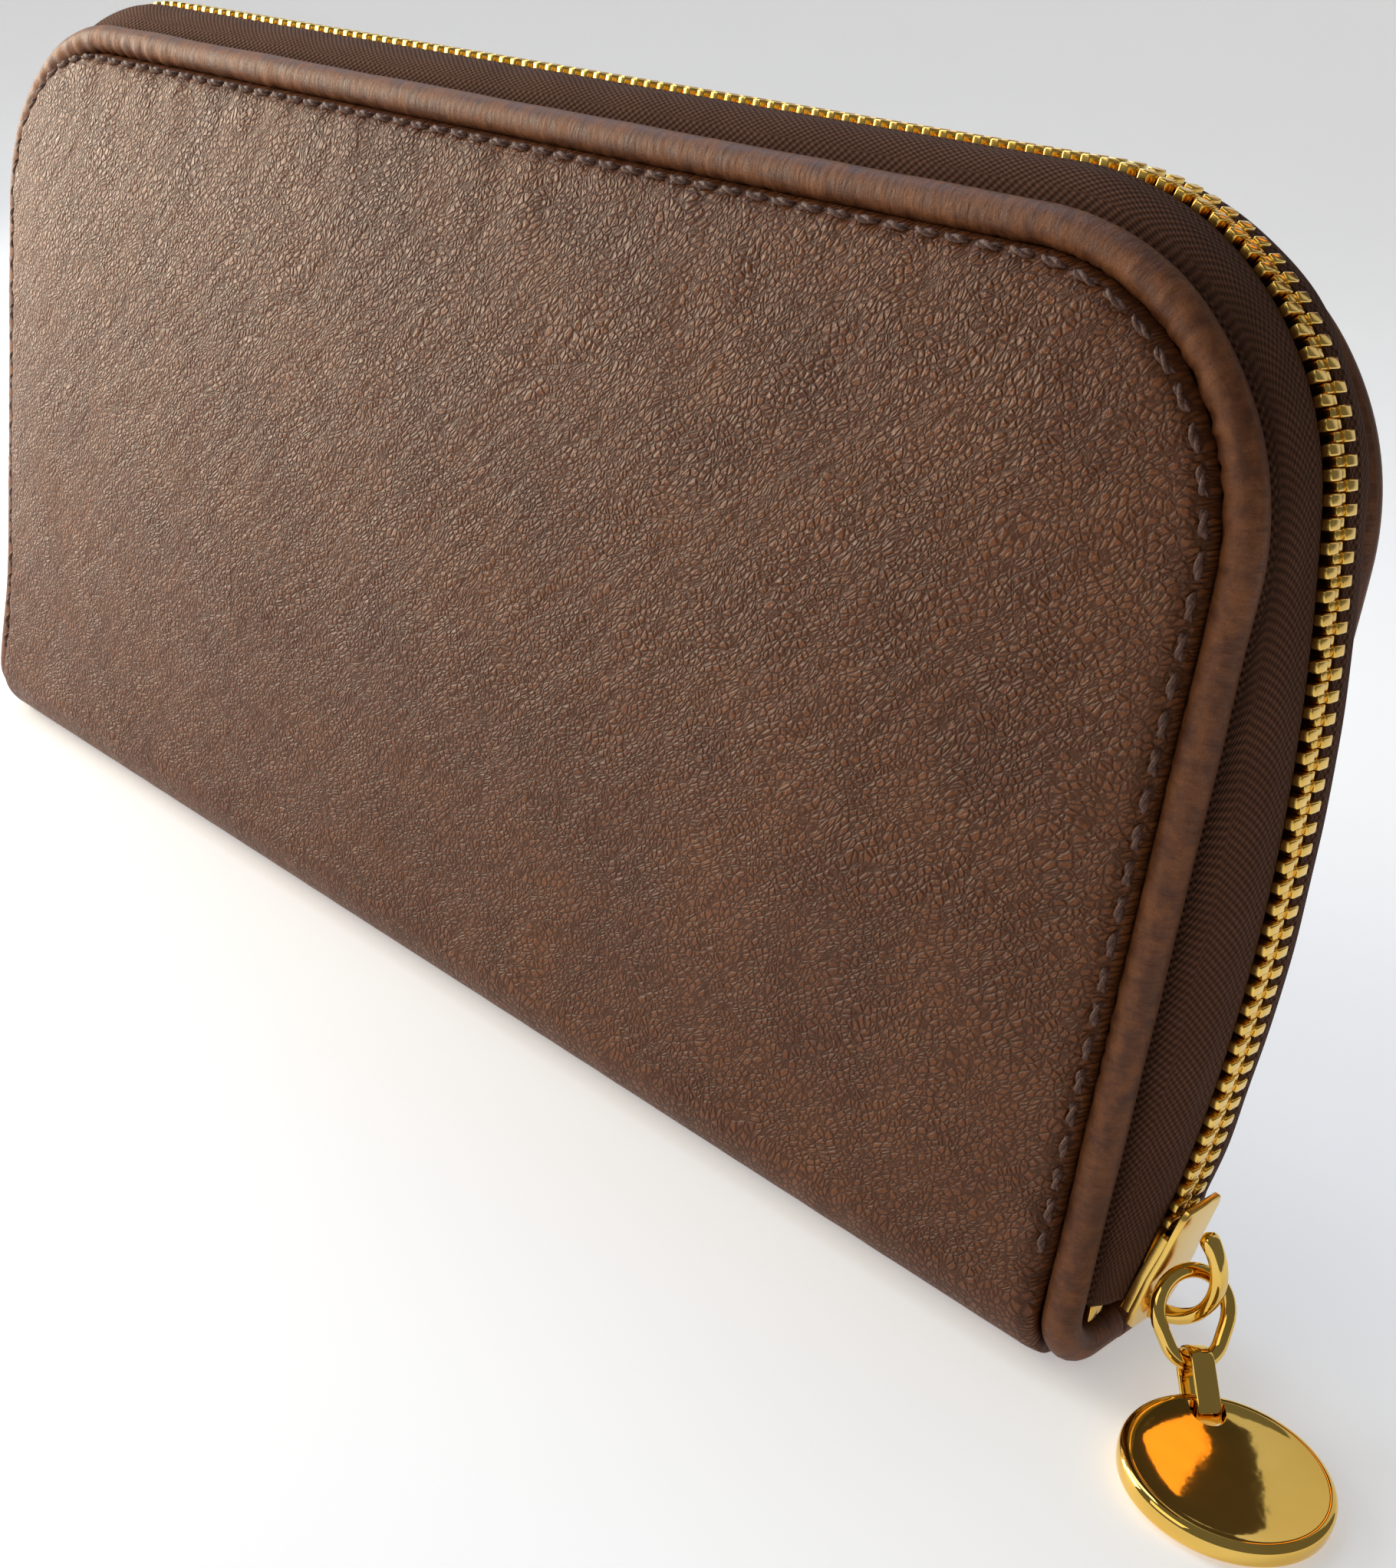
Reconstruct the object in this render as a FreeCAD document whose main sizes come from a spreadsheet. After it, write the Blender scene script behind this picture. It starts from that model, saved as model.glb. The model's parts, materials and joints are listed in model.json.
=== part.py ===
import FreeCAD, Part
import math
import os
import re

import Sketcher
from FreeCAD import Placement, Rotation, Vector

# Zip-around long wallet, standing on its spine.
# +X runs along its length towards the closed end of the zip, the front cover faces -Y, and +Z is up.
# The origin is the middle of the flat underside of the spine. Millimetres.

doc = FreeCAD.newDocument("zip_wallet")

# ---------------------------------------------------------------- driving dimensions

SIZES = [
    ("cover_half_length", 96.0, "middle to the outer edge of the rolled edge"),
    ("cover_height", 98.2, "base to the top of the rolled edge"),
    ("corner_radius", 25.0, "upper corners, on the outer edge"),
    ("cover_depth", 12.2, "mid plane to a cover's outer face"),
    ("cover_inset", 4.1, "cover panel inside the outer edge"),
    ("leather_thick", 1.2, "cover leather"),
    ("cover_round", 0.9, "rounding of a cover's face"),
    ("fold_height", 7.0, "height of the fold, where cover meets spine"),
    ("fold_gap", 0.3, "slit between cover and spine at the fold"),
    ("layer_gap", 0.1, "air between neighbouring layers"),
    ("layer_lift", 1.0, "padding and board above the fold"),
    ("padding_thick", 1.4, "foam behind a cover"),
    ("padding_inset", 5.0, "foam inside the outer edge"),
    ("board_thick", 0.8, "stiffening board"),
    ("board_inset", 4.2, "board inside the outer edge"),
    ("lining_thick", 0.5, "lining cloth"),
    ("bead_radius", 1.75, "rolled edge"),
    ("bead_depth", 9.3, "mid plane to the middle of the rolled edge"),
    ("lip_radius", 5.25, "bend of the rolled edge under the spine"),
    ("spine_bend", 6.8, "outer bend of the spine's leather"),
    ("spine_lining_inset", 1.0, "spine lining inside the spine's ends"),
    ("chain_half_length", 99.6, "middle to the chain's middle at its widest"),
    ("chain_height", 100.8, "base to the chain's middle along the top"),
    ("chain_leg_radius", 180.0, "gentle bow of the chain up each end"),
    ("chain_leg_middle", 42.0, "height where the chain bows out most"),
    ("chain_corner_radius", 27.0, "chain round the upper corners"),
    ("chain_low_end", 4.6, "height of the chain's ends"),
    ("tape_thick", 0.6, "zip tape"),
    ("tape_root_inset", 5.6, "sewn edge of the tape inside the outer edge"),
    ("tape_wall_inset", 0.9, "tape's wall inside the outer edge"),
    ("tape_root_depth", 7.2, "mid plane to the sewn edge of the tape"),
    ("tape_flat_depth", 3.9, "where the tape flattens beside the chain"),
    ("tape_edge_depth", 2.25, "mid plane to the tape's edge at the teeth"),
    ("tooth_pitch", 1.85, "tooth to tooth in one row"),
    ("tooth_thick", 0.8, "tooth along the chain"),
    ("tooth_rise", 2.1, "tooth across the tape's face"),
    ("tooth_back", 2.15, "mid plane to a tooth's heel"),
    ("tooth_nose", 0.65, "how far a tooth reaches past the mid plane"),
    ("stitch_pitch", 3.2, "stitch to stitch"),
    ("stitch_length", 2.5, "one stitch"),
    ("stitch_thick", 0.45, "thread"),
    ("stitch_inset", 3.8, "seam inside the outer edge"),
    ("stitch_depth", 11.5, "mid plane to the seam"),
    ("stitch_low", 9.5, "height where the seam ends"),
    ("card_half_length", 88.5, "card panel, middle to end"),
    ("card_low", 9.0, "card panel's lower edge"),
    ("card_high", 76.0, "card panel's upper edge"),
    ("card_thick", 0.4, "card panel and pocket material"),
    ("slot_length", 86.5, "one card pocket along the wallet"),
    ("slot_height", 15.0, "one card pocket"),
    ("slot_low", 12.0, "lowest card pocket's lower edge"),
    ("slot_step", 13.0, "card pocket to card pocket"),
    ("slot_lean", 2.4, "tilt of a card pocket, degrees"),
    ("pocket_half_length", 77.0, "coin pocket, middle to end"),
    ("pocket_low", 3.2, "coin pocket's lower edge"),
    ("pocket_high", 78.0, "coin pocket's upper edge"),
    ("pocket_thick", 0.6, "coin pocket wall"),
    ("pocket_gap", 0.8, "mid plane to a coin pocket wall"),
    ("seam_width", 2.0, "seam that joins the coin pocket's walls"),
    ("coin_tape_thick", 0.4, "coin zip's tape"),
    ("coin_tape_inset", 1.0, "coin zip's tape inside the pocket's ends"),
    ("coin_tape_high", 85.8, "upper edge of the coin zip"),
    ("coin_teeth_inset", 2.0, "first coin tooth inside the pocket's end"),
    ("coin_tooth_pitch", 1.5, "coin zip tooth to tooth"),
    ("coin_slider_place", 68.0, "middle to the coin slider when closed"),
    ("coin_slider_length", 9.0, "coin slider along its zip"),
    ("coin_pull_length", 10.0, "coin slider's pull"),
    ("gusset_thick", 0.4, "gusset cloth"),
    ("gusset_end", 90.0, "middle to a gusset's sewn edges"),
    ("gusset_fold", 80.0, "middle to a gusset's inner folds"),
    ("gusset_middle", 85.0, "middle to a gusset's middle fold"),
    ("gusset_spread", 6.0, "mid plane to a gusset's sewn edges"),
    ("gusset_fold_depth", 3.9, "mid plane to a gusset's inner folds"),
    ("gusset_middle_depth", 0.6, "half width of a gusset's middle fold"),
    ("gusset_low", 10.0, "gusset's lower edge"),
    ("gusset_high", 74.0, "gusset's upper edge"),
    ("slider_length", 14.0, "slider along the chain"),
    ("slider_height", 11.3, "height of the slider's middle"),
    ("slider_tip", 1.5, "extra lean of the slider on the chain, degrees"),
    ("wing_thick", 0.7, "slider's wing plates"),
    ("wing_gap", 1.5, "chain's middle to a wing plate"),
    ("wing_wide", 3.75, "half width of a wing at the open end"),
    ("wing_narrow", 3.2, "half width of a wing at the closed end"),
    ("wing_corner", 0.9, "how far a wing's lower end is narrower than its upper half"),
    ("wing_nose", 2.4, "length over which a wing's lower end widens"),
    ("wing_waist_low", 0.6, "where a wing begins to narrow, below the slider's middle"),
    ("wing_waist_high", 2.2, "where a wing has narrowed, above the slider's middle"),
    ("wing_taper", 0.2, "narrowing of a wing towards its upper end"),
    ("wedge_low", 6.6, "wedge's lower point below the slider's middle"),
    ("wedge_wide_place", 4.6, "wedge's widest place below the slider's middle"),
    ("wedge_high", 2.2, "wedge's upper point below the slider's middle"),
    ("wedge_half_width", 1.1, "wedge at its widest"),
    ("wedge_bite", 0.1, "wedge into each wing"),
    ("flange_thick", 0.7, "slider's side flanges"),
    ("flange_high", 3.6, "flange's upper end above the slider's middle"),
    ("flange_step", 0.05, "flange inside the wing at its upper end"),
    ("flange_ease", 0.15, "flange thickened at its narrow end"),
    ("flange_slot", 0.75, "half height of the slot for the tape"),
    ("bridge_radius", 5.25, "bow of the slider's bridge"),
    ("bridge_sink", 0.9, "middle of the bow below the wing's face"),
    ("bridge_mouth", 1.0, "gap between the bridge's free end and the wing"),
    ("bridge_shift", 0.3, "bridge's middle towards the open end"),
    ("bridge_thick", 1.3, "bridge metal"),
    ("bridge_width", 1.7, "bridge across the slider"),
    ("ring_rise", 0.6, "ring's seat above the slider's middle"),
    ("ring_seat", 3.7, "ring's seat out from the chain's middle"),
    ("ring_turn", 32.0, "ring's turn away from the slider's plane, degrees"),
    ("link_turn", 38.0, "link's turn, degrees"),
    ("disc_turn", 45.0, "disc's turn, degrees"),
    ("ring_lean", 30.0, "ring's lean out of the vertical, degrees"),
    ("ring_wire", 0.7, "radius of the ring's wire"),
    ("ring_reach", 8.1, "wire to wire, top to bottom"),
    ("ring_top_radius", 3.5, "ring's upper bend"),
    ("ring_low_radius", 2.8, "ring's lower bend"),
    ("link_reach", 3.6, "ring's wire to the disc's bar"),
    ("link_inside", 1.35, "inner bend radius of the link"),
    ("link_thick", 0.5, "link band"),
    ("link_width", 2.2, "link band across"),
    ("link_slack", 0.2, "how much shorter the link is than its reach"),
    ("bar_height", 1.9, "disc's bar above the base, propped up by the link under it"),
    ("disc_radius", 9.1, "pull disc"),
    ("disc_thick", 2.2, "pull disc at its rim"),
    ("disc_edge", 0.6, "rounding of the disc's rim"),
    ("disc_face", 1.1, "outer edge to the start of the hollow face"),
    ("disc_dish", 0.55, "depth of the disc's hollow face"),
    ("disc_bowl", 60.0, "radius of the hollow face"),
    ("disc_rim", 1.3, "bar between the disc's slot and its rim"),
    ("disc_slot_length", 2.6, "slot in the disc"),
    ("disc_slot_width", 3.2, "slot in the disc"),
]

sizes = doc.addObject("Spreadsheet::Sheet", "Sizes")
for row, (alias, number, note) in enumerate(SIZES, start=1):
    sizes.set(f"A{row}", alias)
    sizes.set(f"B{row}", str(number))
    sizes.setAlias(f"B{row}", alias)
    sizes.set(f"C{row}", note)
doc.recompute()


# ---------------------------------------------------------------- helpers

def bind(text):
    """An expression on the sheet, from one that names sizes alone."""
    return re.sub(r"\b[a-z]+(?:_[a-z]+)+\b", lambda word: "Sizes." + word.group(), str(text))


def value(text):
    """The number that an expression gives now."""
    return float(sizes.evalExpression(bind(text)))


def origin_plane(body, role):
    return [item for item in body.Origin.OriginFeatures if item.Role == role][0]


def new_body(label):
    body = doc.addObject("PartDesign::Body", "Body_" + label)
    body.Label = label
    return body


def new_sketch(body, name, role, offset="0"):
    """A sketch on one of the body's origin planes, moved along the plane's normal."""
    sketch = body.newObject("Sketcher::SketchObject", name)
    sketch.AttachmentSupport = [(origin_plane(body, role), "")]
    sketch.MapMode = "FlatFace"
    sketch.setExpression("AttachmentOffset.Base.z", bind(offset))
    return sketch


def arc_between(start, end, radius, turn):
    """The shorter arc from start to end; turn is +1 for anticlockwise, -1 for clockwise."""
    chord = end - start
    half = chord.Length / 2
    rise = radius - math.sqrt(max(radius * radius - half * half, 0.0))
    side = Vector(chord.y, -chord.x, 0).normalize()
    return Part.Arc(start, start + chord * 0.5 + side * (rise * turn), end)


def hold_point(sketch, geometry, end, corner, number):
    """Ties one end of a line or arc to its two expressions."""
    for axis, text in zip("XY", corner[:2]):
        kind = "Distance" + axis
        index = sketch.addConstraint(Sketcher.Constraint(kind, -1, 1, geometry, end, value(text)))
        sketch.renameConstraint(index, f"corner_{axis.lower()}{number}")
        sketch.setExpression(f"Constraints.corner_{axis.lower()}{number}", bind(text))


def draw(sketch, corners, closed=True):
    """Lines and arcs through the corners.

    A corner is (x, y), or (x, y, radius, turn) where an arc follows.
    """
    places = [Vector(value(corner[0]), value(corner[1]), 0) for corner in corners]
    count = len(corners) if closed else len(corners) - 1
    ends = []
    for number in range(count):
        corner = corners[number]
        start = places[number]
        end = places[(number + 1) % len(corners)]
        if len(corner) == 2:
            sketch.addGeometry(Part.LineSegment(start, end))
        else:
            sketch.addGeometry(arc_between(start, end, value(corner[2]), corner[3]))
        forward = sketch.getPoint(number, 1).distanceToPoint(start) < 1e-6
        ends.append((1, 2) if forward else (2, 1))
    for number in range(count):
        following = (number + 1) % len(corners)
        if following < count:
            sketch.addConstraint(Sketcher.Constraint(
                "Coincident", number, ends[number][1], following, ends[following][0]))
        hold_point(sketch, number, ends[number][0], corners[number], number)
        if len(corners[number]) == 4:
            radius = corners[number][2]
            index = sketch.addConstraint(Sketcher.Constraint("Radius", number, value(radius)))
            sketch.renameConstraint(index, f"bend_{number}")
            sketch.setExpression(f"Constraints.bend_{number}", bind(radius))
    if not closed:
        hold_point(sketch, count - 1, ends[count - 1][1], corners[count], count)
    return sketch


def draw_circle(sketch, across, along, radius):
    centre = Vector(value(across), value(along), 0)
    sketch.addGeometry(Part.Circle(centre, Vector(0, 0, 1), value(radius)))
    hold_point(sketch, 0, 3, (across, along), 0)
    index = sketch.addConstraint(Sketcher.Constraint("Radius", 0, value(radius)))
    sketch.renameConstraint(index, "radius")
    sketch.setExpression("Constraints.radius", bind(radius))
    return sketch


def pad(body, sketch, length, reverse=False, midplane=False):
    feature = body.newObject("PartDesign::Pad", "Pad_" + sketch.Name)
    feature.Profile = sketch
    feature.setExpression("Length", bind(length))
    feature.Reversed = reverse
    feature.Midplane = midplane
    body.Tip = feature
    doc.recompute()
    return feature


def pocket(body, sketch, length, reverse=False, midplane=False):
    before = body.Shape.Volume
    feature = body.newObject("PartDesign::Pocket", "Pocket_" + sketch.Name)
    feature.Profile = sketch
    feature.setExpression("Length", bind(length))
    feature.Reversed = reverse
    feature.Midplane = midplane
    body.Tip = feature
    doc.recompute()
    if body.Shape.Volume > before - 1e-3:
        raise RuntimeError(f"{sketch.Name} cuts nothing")
    return feature


def pipe(body, profile, path):
    feature = body.newObject("PartDesign::AdditivePipe", "Pipe_" + path.Name)
    feature.Profile = profile
    feature.Spine = (path, [f"Edge{number + 1}" for number in range(len(path.Geometry))])
    body.Tip = feature
    doc.recompute()
    return feature


def group(label, solids):
    """A piece, or several alike, held as one feature."""
    feature = doc.addObject("Part::Feature", "Solid_" + label)
    feature.Shape = solids[0] if len(solids) == 1 else Part.makeCompound(solids)
    feature.Label = label
    return feature


def box(low, high):
    """A solid box between two corners."""
    return Part.makeBox(high.x - low.x, high.y - low.y, high.z - low.z, low)


SIDES = {"front": -1, "rear": 1}
PIECES = []


# ---------------------------------------------------------------- covers

def d_outline(inset, low):
    """Corners of the cover's outline, a rectangle with two round upper corners, in from its outer edge."""
    side = f"(cover_half_length - {inset})"
    shoulder = "(cover_half_length - corner_radius)"
    spring = "cover_height - corner_radius"
    top = f"cover_height - {inset}"
    bend = f"corner_radius - {inset}"
    return [
        (f"-{side}", low),
        (f"-{side}", spring, bend, -1),
        (f"-{shoulder}", top),
        (shoulder, top, bend, -1),
        (side, spring),
        (side, low),
    ]


def panel(label, side, depth, thick, inset, low):
    """A flat D-shaped layer; depth is its inner face, and it grows outwards."""
    body = new_body(label)
    offset = depth if side < 0 else f"-({depth})"
    sketch = new_sketch(body, "Outline_" + label, "XZ_Plane", offset)
    draw(sketch, d_outline(inset, low))
    pad(body, sketch, thick, reverse=side > 0)
    PIECES.append(body)
    return body


def round_face(body, side, radius):
    """Rounds the edges of the outermost face."""
    base = body.Tip
    faces = base.Shape.Faces
    outer = max(range(len(faces)), key=lambda number: faces[number].CenterOfMass.y * side)
    feature = body.newObject("PartDesign::Fillet", "Round_" + body.Label)
    feature.Base = (base, [f"Face{outer + 1}"])
    feature.setExpression("Radius", bind(radius))
    body.Tip = feature
    doc.recompute()


def edge_bead(label, side):
    """The rolled leather edge round the two ends and the top of a cover."""
    body = new_body(label)
    low = "fold_height + fold_gap"
    depth = "bead_depth" if side < 0 else "-bead_depth"
    path = new_sketch(body, "Path_" + label, "XZ_Plane", depth)
    draw(path, d_outline("bead_radius", low), closed=False)
    section = new_sketch(body, "Section_" + label, "XY_Plane", low)
    centre = f"{side} * bead_depth"
    draw_circle(section, "-(cover_half_length - bead_radius)", centre, "bead_radius")
    pipe(body, section, path)
    PIECES.append(body)


COVER_LOW = "fold_height + fold_gap"
LAYER_LOW = f"{COVER_LOW} + layer_lift"
COVER_INNER = "cover_depth - leather_thick"
PADDING_INNER = f"{COVER_INNER} - layer_gap - padding_thick"
BOARD_INNER = f"{PADDING_INNER} - layer_gap - board_thick"
LINING_INNER = f"{BOARD_INNER} - layer_gap - lining_thick"
CARD_INNER = f"{LINING_INNER} - layer_gap - card_thick"

for name, side in SIDES.items():
    cover = panel(f"{name}_cover", side, COVER_INNER, "leather_thick", "cover_inset", COVER_LOW)
    round_face(cover, side, "cover_round")
    panel(f"{name}_padding", side, PADDING_INNER, "padding_thick", "padding_inset", LAYER_LOW)
    panel(f"{name}_board", side, BOARD_INNER, "board_thick", "board_inset", LAYER_LOW)
    panel(f"{name}_lining", side, LINING_INNER, "lining_thick", "board_inset", COVER_LOW)
    edge_bead(f"{name}_edge_bead", side)


# ---------------------------------------------------------------- spine

def spine_section(outer_depth, radius, low, high, thick):
    """Corners of a trough bent from one sheet, across the spine."""
    inner_depth = f"({outer_depth} - {thick})"
    foot = f"({outer_depth} - {radius})"
    inner_bend = f"{radius} - {thick}"
    return [
        (f"-{outer_depth}", high),
        (f"-{outer_depth}", f"{low} + {radius}", radius, 1),
        (f"-{foot}", low),
        (foot, low, radius, 1),
        (outer_depth, f"{low} + {radius}"),
        (outer_depth, high),
        (inner_depth, high),
        (inner_depth, f"{low} + {radius}", inner_bend, -1),
        (foot, f"{low} + {thick}"),
        (f"-{foot}", f"{low} + {thick}", inner_bend, -1),
        (f"-{inner_depth}", f"{low} + {radius}"),
        (f"-{inner_depth}", high),
    ]


def trough(label, corners, half_length):
    body = new_body(label)
    sketch = new_sketch(body, "Section_" + label, "YZ_Plane")
    draw(sketch, corners)
    pad(body, sketch, f"2 * ({half_length})", midplane=True)
    PIECES.append(body)


trough("spine_cover",
       spine_section("cover_depth", "spine_bend", "0", "fold_height", "leather_thick"),
       "cover_half_length - cover_inset")
trough("spine_lining",
       spine_section("(cover_depth - leather_thick - 2 * layer_gap)",
                     "(spine_bend - leather_thick - 2 * layer_gap)",
                     "(leather_thick + layer_gap)", "fold_height - 2 * layer_gap", "lining_thick"),
       "cover_half_length - cover_inset - spine_lining_inset")


def end_lip(label, side):
    """The rolled edge carried under the spine, at one end."""
    body = new_body(label)
    end = f"{side} * (cover_half_length - bead_radius)"
    path = new_sketch(body, "Path_" + label, "YZ_Plane", end)
    foot = "(bead_depth - lip_radius)"
    spring = "bead_radius + lip_radius"
    draw(path, [
        ("-bead_depth", spring, "lip_radius", 1),
        (f"-{foot}", "bead_radius"),
        (foot, "bead_radius", "lip_radius", 1),
        ("bead_depth", spring),
    ], closed=False)
    section = new_sketch(body, "Section_" + label, "XY_Plane", spring)
    draw_circle(section, end, "-bead_depth", "bead_radius")
    pipe(body, section, path)
    PIECES.append(body)


end_lip("left_spine_lip", -1)
end_lip("right_spine_lip", 1)


# ---------------------------------------------------------------- the zip's path

def cover_outline(inset, low, depth):
    """Wire along the cover's outline at one depth, up the left end, over the top and down the right end."""
    half = value("cover_half_length")
    top = value("cover_height")
    bend = value("corner_radius")
    side = half - inset
    shoulder = half - bend
    spring = top - bend
    centre = Vector(shoulder, depth, spring)
    diagonal = (bend - inset) * math.sqrt(0.5)
    right = Part.Arc(
        Vector(shoulder, depth, top - inset),
        centre + Vector(diagonal, 0, diagonal),
        Vector(side, depth, spring),
    )
    left = Part.Arc(
        Vector(-side, depth, spring),
        Vector(-shoulder - diagonal, depth, spring + diagonal),
        Vector(-shoulder, depth, top - inset),
    )
    return [
        Part.LineSegment(Vector(-side, depth, low), Vector(-side, depth, spring)).toShape(),
        left.toShape(),
        Part.LineSegment(Vector(-shoulder, depth, top - inset),
                         Vector(shoulder, depth, top - inset)).toShape(),
        right.toShape(),
        Part.LineSegment(Vector(side, depth, spring), Vector(side, depth, low)).toShape(),
    ]


LEG_RADIUS = value("chain_leg_radius")
LEG_CENTRE = Vector(value("chain_half_length") - LEG_RADIUS, 0, value("chain_leg_middle"))
CORNER_BEND = value("chain_corner_radius")
CORNER_HEIGHT = value("chain_height") - CORNER_BEND
CORNER_MIDDLE = LEG_CENTRE.x + math.sqrt(
    (LEG_RADIUS - CORNER_BEND) ** 2 - (CORNER_HEIGHT - LEG_CENTRE.z) ** 2
)
CORNER_CENTRE = Vector(CORNER_MIDDLE, 0, CORNER_HEIGHT)
CORNER_ANGLE = math.atan2(CORNER_HEIGHT - LEG_CENTRE.z, CORNER_MIDDLE - LEG_CENTRE.x)


def ray(centre, radius, angle, depth):
    """A point of the right half's arcs; the angle is measured up from +X."""
    return centre + Vector(radius * math.cos(angle), depth, radius * math.sin(angle))


def mirrored(point):
    return Vector(-point.x, point.y, point.z)


def chain_outline(rise, low, depth):
    """Wire along the chain at one depth, rise outside its middle line; the same order as cover_outline."""
    leg = LEG_RADIUS + rise
    bend = CORNER_BEND + rise
    low_angle = math.asin((low - LEG_CENTRE.z) / leg)
    leg_points = [
        ray(LEG_CENTRE, leg, CORNER_ANGLE, depth),
        ray(LEG_CENTRE, leg, (CORNER_ANGLE + low_angle) / 2, depth),
        ray(LEG_CENTRE, leg, low_angle, depth),
    ]
    bend_points = [
        ray(CORNER_CENTRE, bend, math.pi / 2, depth),
        ray(CORNER_CENTRE, bend, (math.pi / 2 + CORNER_ANGLE) / 2, depth),
        leg_points[0],
    ]
    return [
        Part.Arc(*[mirrored(point) for point in reversed(leg_points)]).toShape(),
        Part.Arc(*[mirrored(point) for point in reversed(bend_points)]).toShape(),
        Part.LineSegment(mirrored(bend_points[0]), bend_points[0]).toShape(),
        Part.Arc(*bend_points).toShape(),
        Part.Arc(*leg_points).toShape(),
    ]


def band(outer, inner):
    """A solid strip between matching rows of edges, each row running the same way."""
    faces = []
    for rows in (outer, inner):
        for first, second in zip(rows, rows[1:]):
            faces += [Part.makeRuledSurface(one, two) for one, two in zip(first, second)]
    for place in (0, -1):
        faces += [Part.makeRuledSurface(one, two) for one, two in zip(outer[place], inner[place])]
    ring = outer + inner[::-1]
    for edge, end in ((0, "FirstParameter"), (-1, "LastParameter")):
        corners = [row[edge].valueAt(getattr(row[edge], end)) for row in ring]
        faces.append(Part.makeFilledFace(Part.makePolygon(corners + corners[:1]).Edges))
    shell = Part.makeShell(faces)
    shell.sewShape()
    solid = Part.makeSolid(shell)
    if solid.Volume < 0:
        solid.reverse()
    return solid


# ---------------------------------------------------------------- zip tapes

TAPE_LOW = 7.2


def zip_tape(label, side):
    half = value("tape_thick") / 2
    root = value("tape_root_depth")
    flat = value("tape_flat_depth")
    edge = value("tape_edge_depth")
    root_inset = value("tape_root_inset")
    wall_inset = value("tape_wall_inset")
    outer = []
    inner = []
    for rows, shift in ((outer, half), (inner, -half)):
        rows.append(cover_outline(root_inset, TAPE_LOW, side * (root + shift)))
        rows.append(cover_outline(wall_inset - shift, TAPE_LOW, side * (root + shift)))
        rows.append(chain_outline(shift, TAPE_LOW, side * flat))
        rows.append(chain_outline(shift, TAPE_LOW, side * edge))
    piece = group(label, [band(outer, inner)])
    PIECES.append(piece)


for name, side in SIDES.items():
    zip_tape(f"{name}_zip_tape", side)


# ---------------------------------------------------------------- zip teeth

def along(edges, distance):
    """Place and direction at a distance along a row of edges."""
    for edge in edges:
        if distance <= edge.Length or edge is edges[-1]:
            parameter = edge.getParameterByLength(min(distance, edge.Length))
            return edge.valueAt(parameter), edge.tangentAt(parameter).normalize()
        distance -= edge.Length
    raise ValueError("beyond the end of the path")


def on_path(edges, distance):
    """Placement with X to the path's outside, Y as the wallet's, and Z back along the path."""
    point, heading = along(edges, distance)
    outward = Vector(-heading.z, 0, heading.x)
    return Placement(point, Rotation(outward, Vector(0, 1, 0), heading * -1, "ZXY"))


CHAIN_EDGES = chain_outline(0, value("chain_low_end"), 0)
CHAIN_LENGTH = sum(edge.Length for edge in CHAIN_EDGES)
SLIDER_ANGLE = math.asin((value("slider_height") - LEG_CENTRE.z) / LEG_RADIUS)
LOW_ANGLE = math.asin((value("chain_low_end") - LEG_CENTRE.z) / LEG_RADIUS)
SLIDER_PLACE = CHAIN_LENGTH - (SLIDER_ANGLE - LOW_ANGLE) * LEG_RADIUS
PITCH = value("tooth_pitch")
STOP_LENGTH = 2.6
STOP_PLACE = 9.0
STOP_PROUD = 0.2
STOP_OVERHANG = 0.05
TOP_STOP_STEP = 0.3
TOP_STOP_HALF = Vector(0.8, 1.15, 0.95)
TAIL_TEETH = 3
TAIL_START = Vector(94.6, 4.9, 5.25)
TAIL_HALF = Vector(0.4, 1.05, 0.9)


def tooth(side, distance):
    """One tooth of a row, at a distance along the chain."""
    half_thick = value("tooth_thick") / 2
    half_rise = value("tooth_rise") / 2
    depths = sorted((side * value("tooth_back"), -side * value("tooth_nose")))
    block = box(Vector(-half_rise, depths[0], -half_thick), Vector(half_rise, depths[1], half_thick))
    block.Placement = on_path(CHAIN_EDGES, distance)
    return block


def tail_block(side, number, half):
    """A block on the loose end of the tape, which turns in over the spine below the slider."""
    middle = Vector(TAIL_START.x - number * PITCH, side * TAIL_START.y, TAIL_START.z)
    return box(middle - half, middle + half)


def zip_teeth(label, side):
    """The row's closed run up to the slider, and its last few teeth on the loose end."""
    first = STOP_PLACE + STOP_LENGTH / 2 + PITCH / 2
    last = SLIDER_PLACE - value("slider_length") / 2 - PITCH / 2
    offset = PITCH / 2 if side > 0 else 0.0
    count = int((last - first - offset) / PITCH) + 1
    teeth = [tooth(side, first + offset + number * PITCH) for number in range(count)]
    teeth += [tail_block(side, number, TAIL_HALF) for number in range(TAIL_TEETH)]
    PIECES.append(group(label, teeth))


def bottom_stop():
    """The clamp over both rows, at the end where the zip never opens."""
    half = Vector(value("tooth_rise") / 2 + STOP_PROUD, value("tooth_back") + STOP_OVERHANG, STOP_LENGTH / 2)
    block = box(half * -1, half)
    block.Placement = on_path(CHAIN_EDGES, STOP_PLACE)
    PIECES.append(group("zip_bottom_stop", [block]))


for name, side in SIDES.items():
    zip_teeth(f"{name}_zip_teeth", side)
    stop = tail_block(side, TAIL_TEETH + TOP_STOP_STEP, TOP_STOP_HALF)
    PIECES.append(group(f"{name}_top_stop", [stop]))
bottom_stop()


# ---------------------------------------------------------------- stitching

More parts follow.
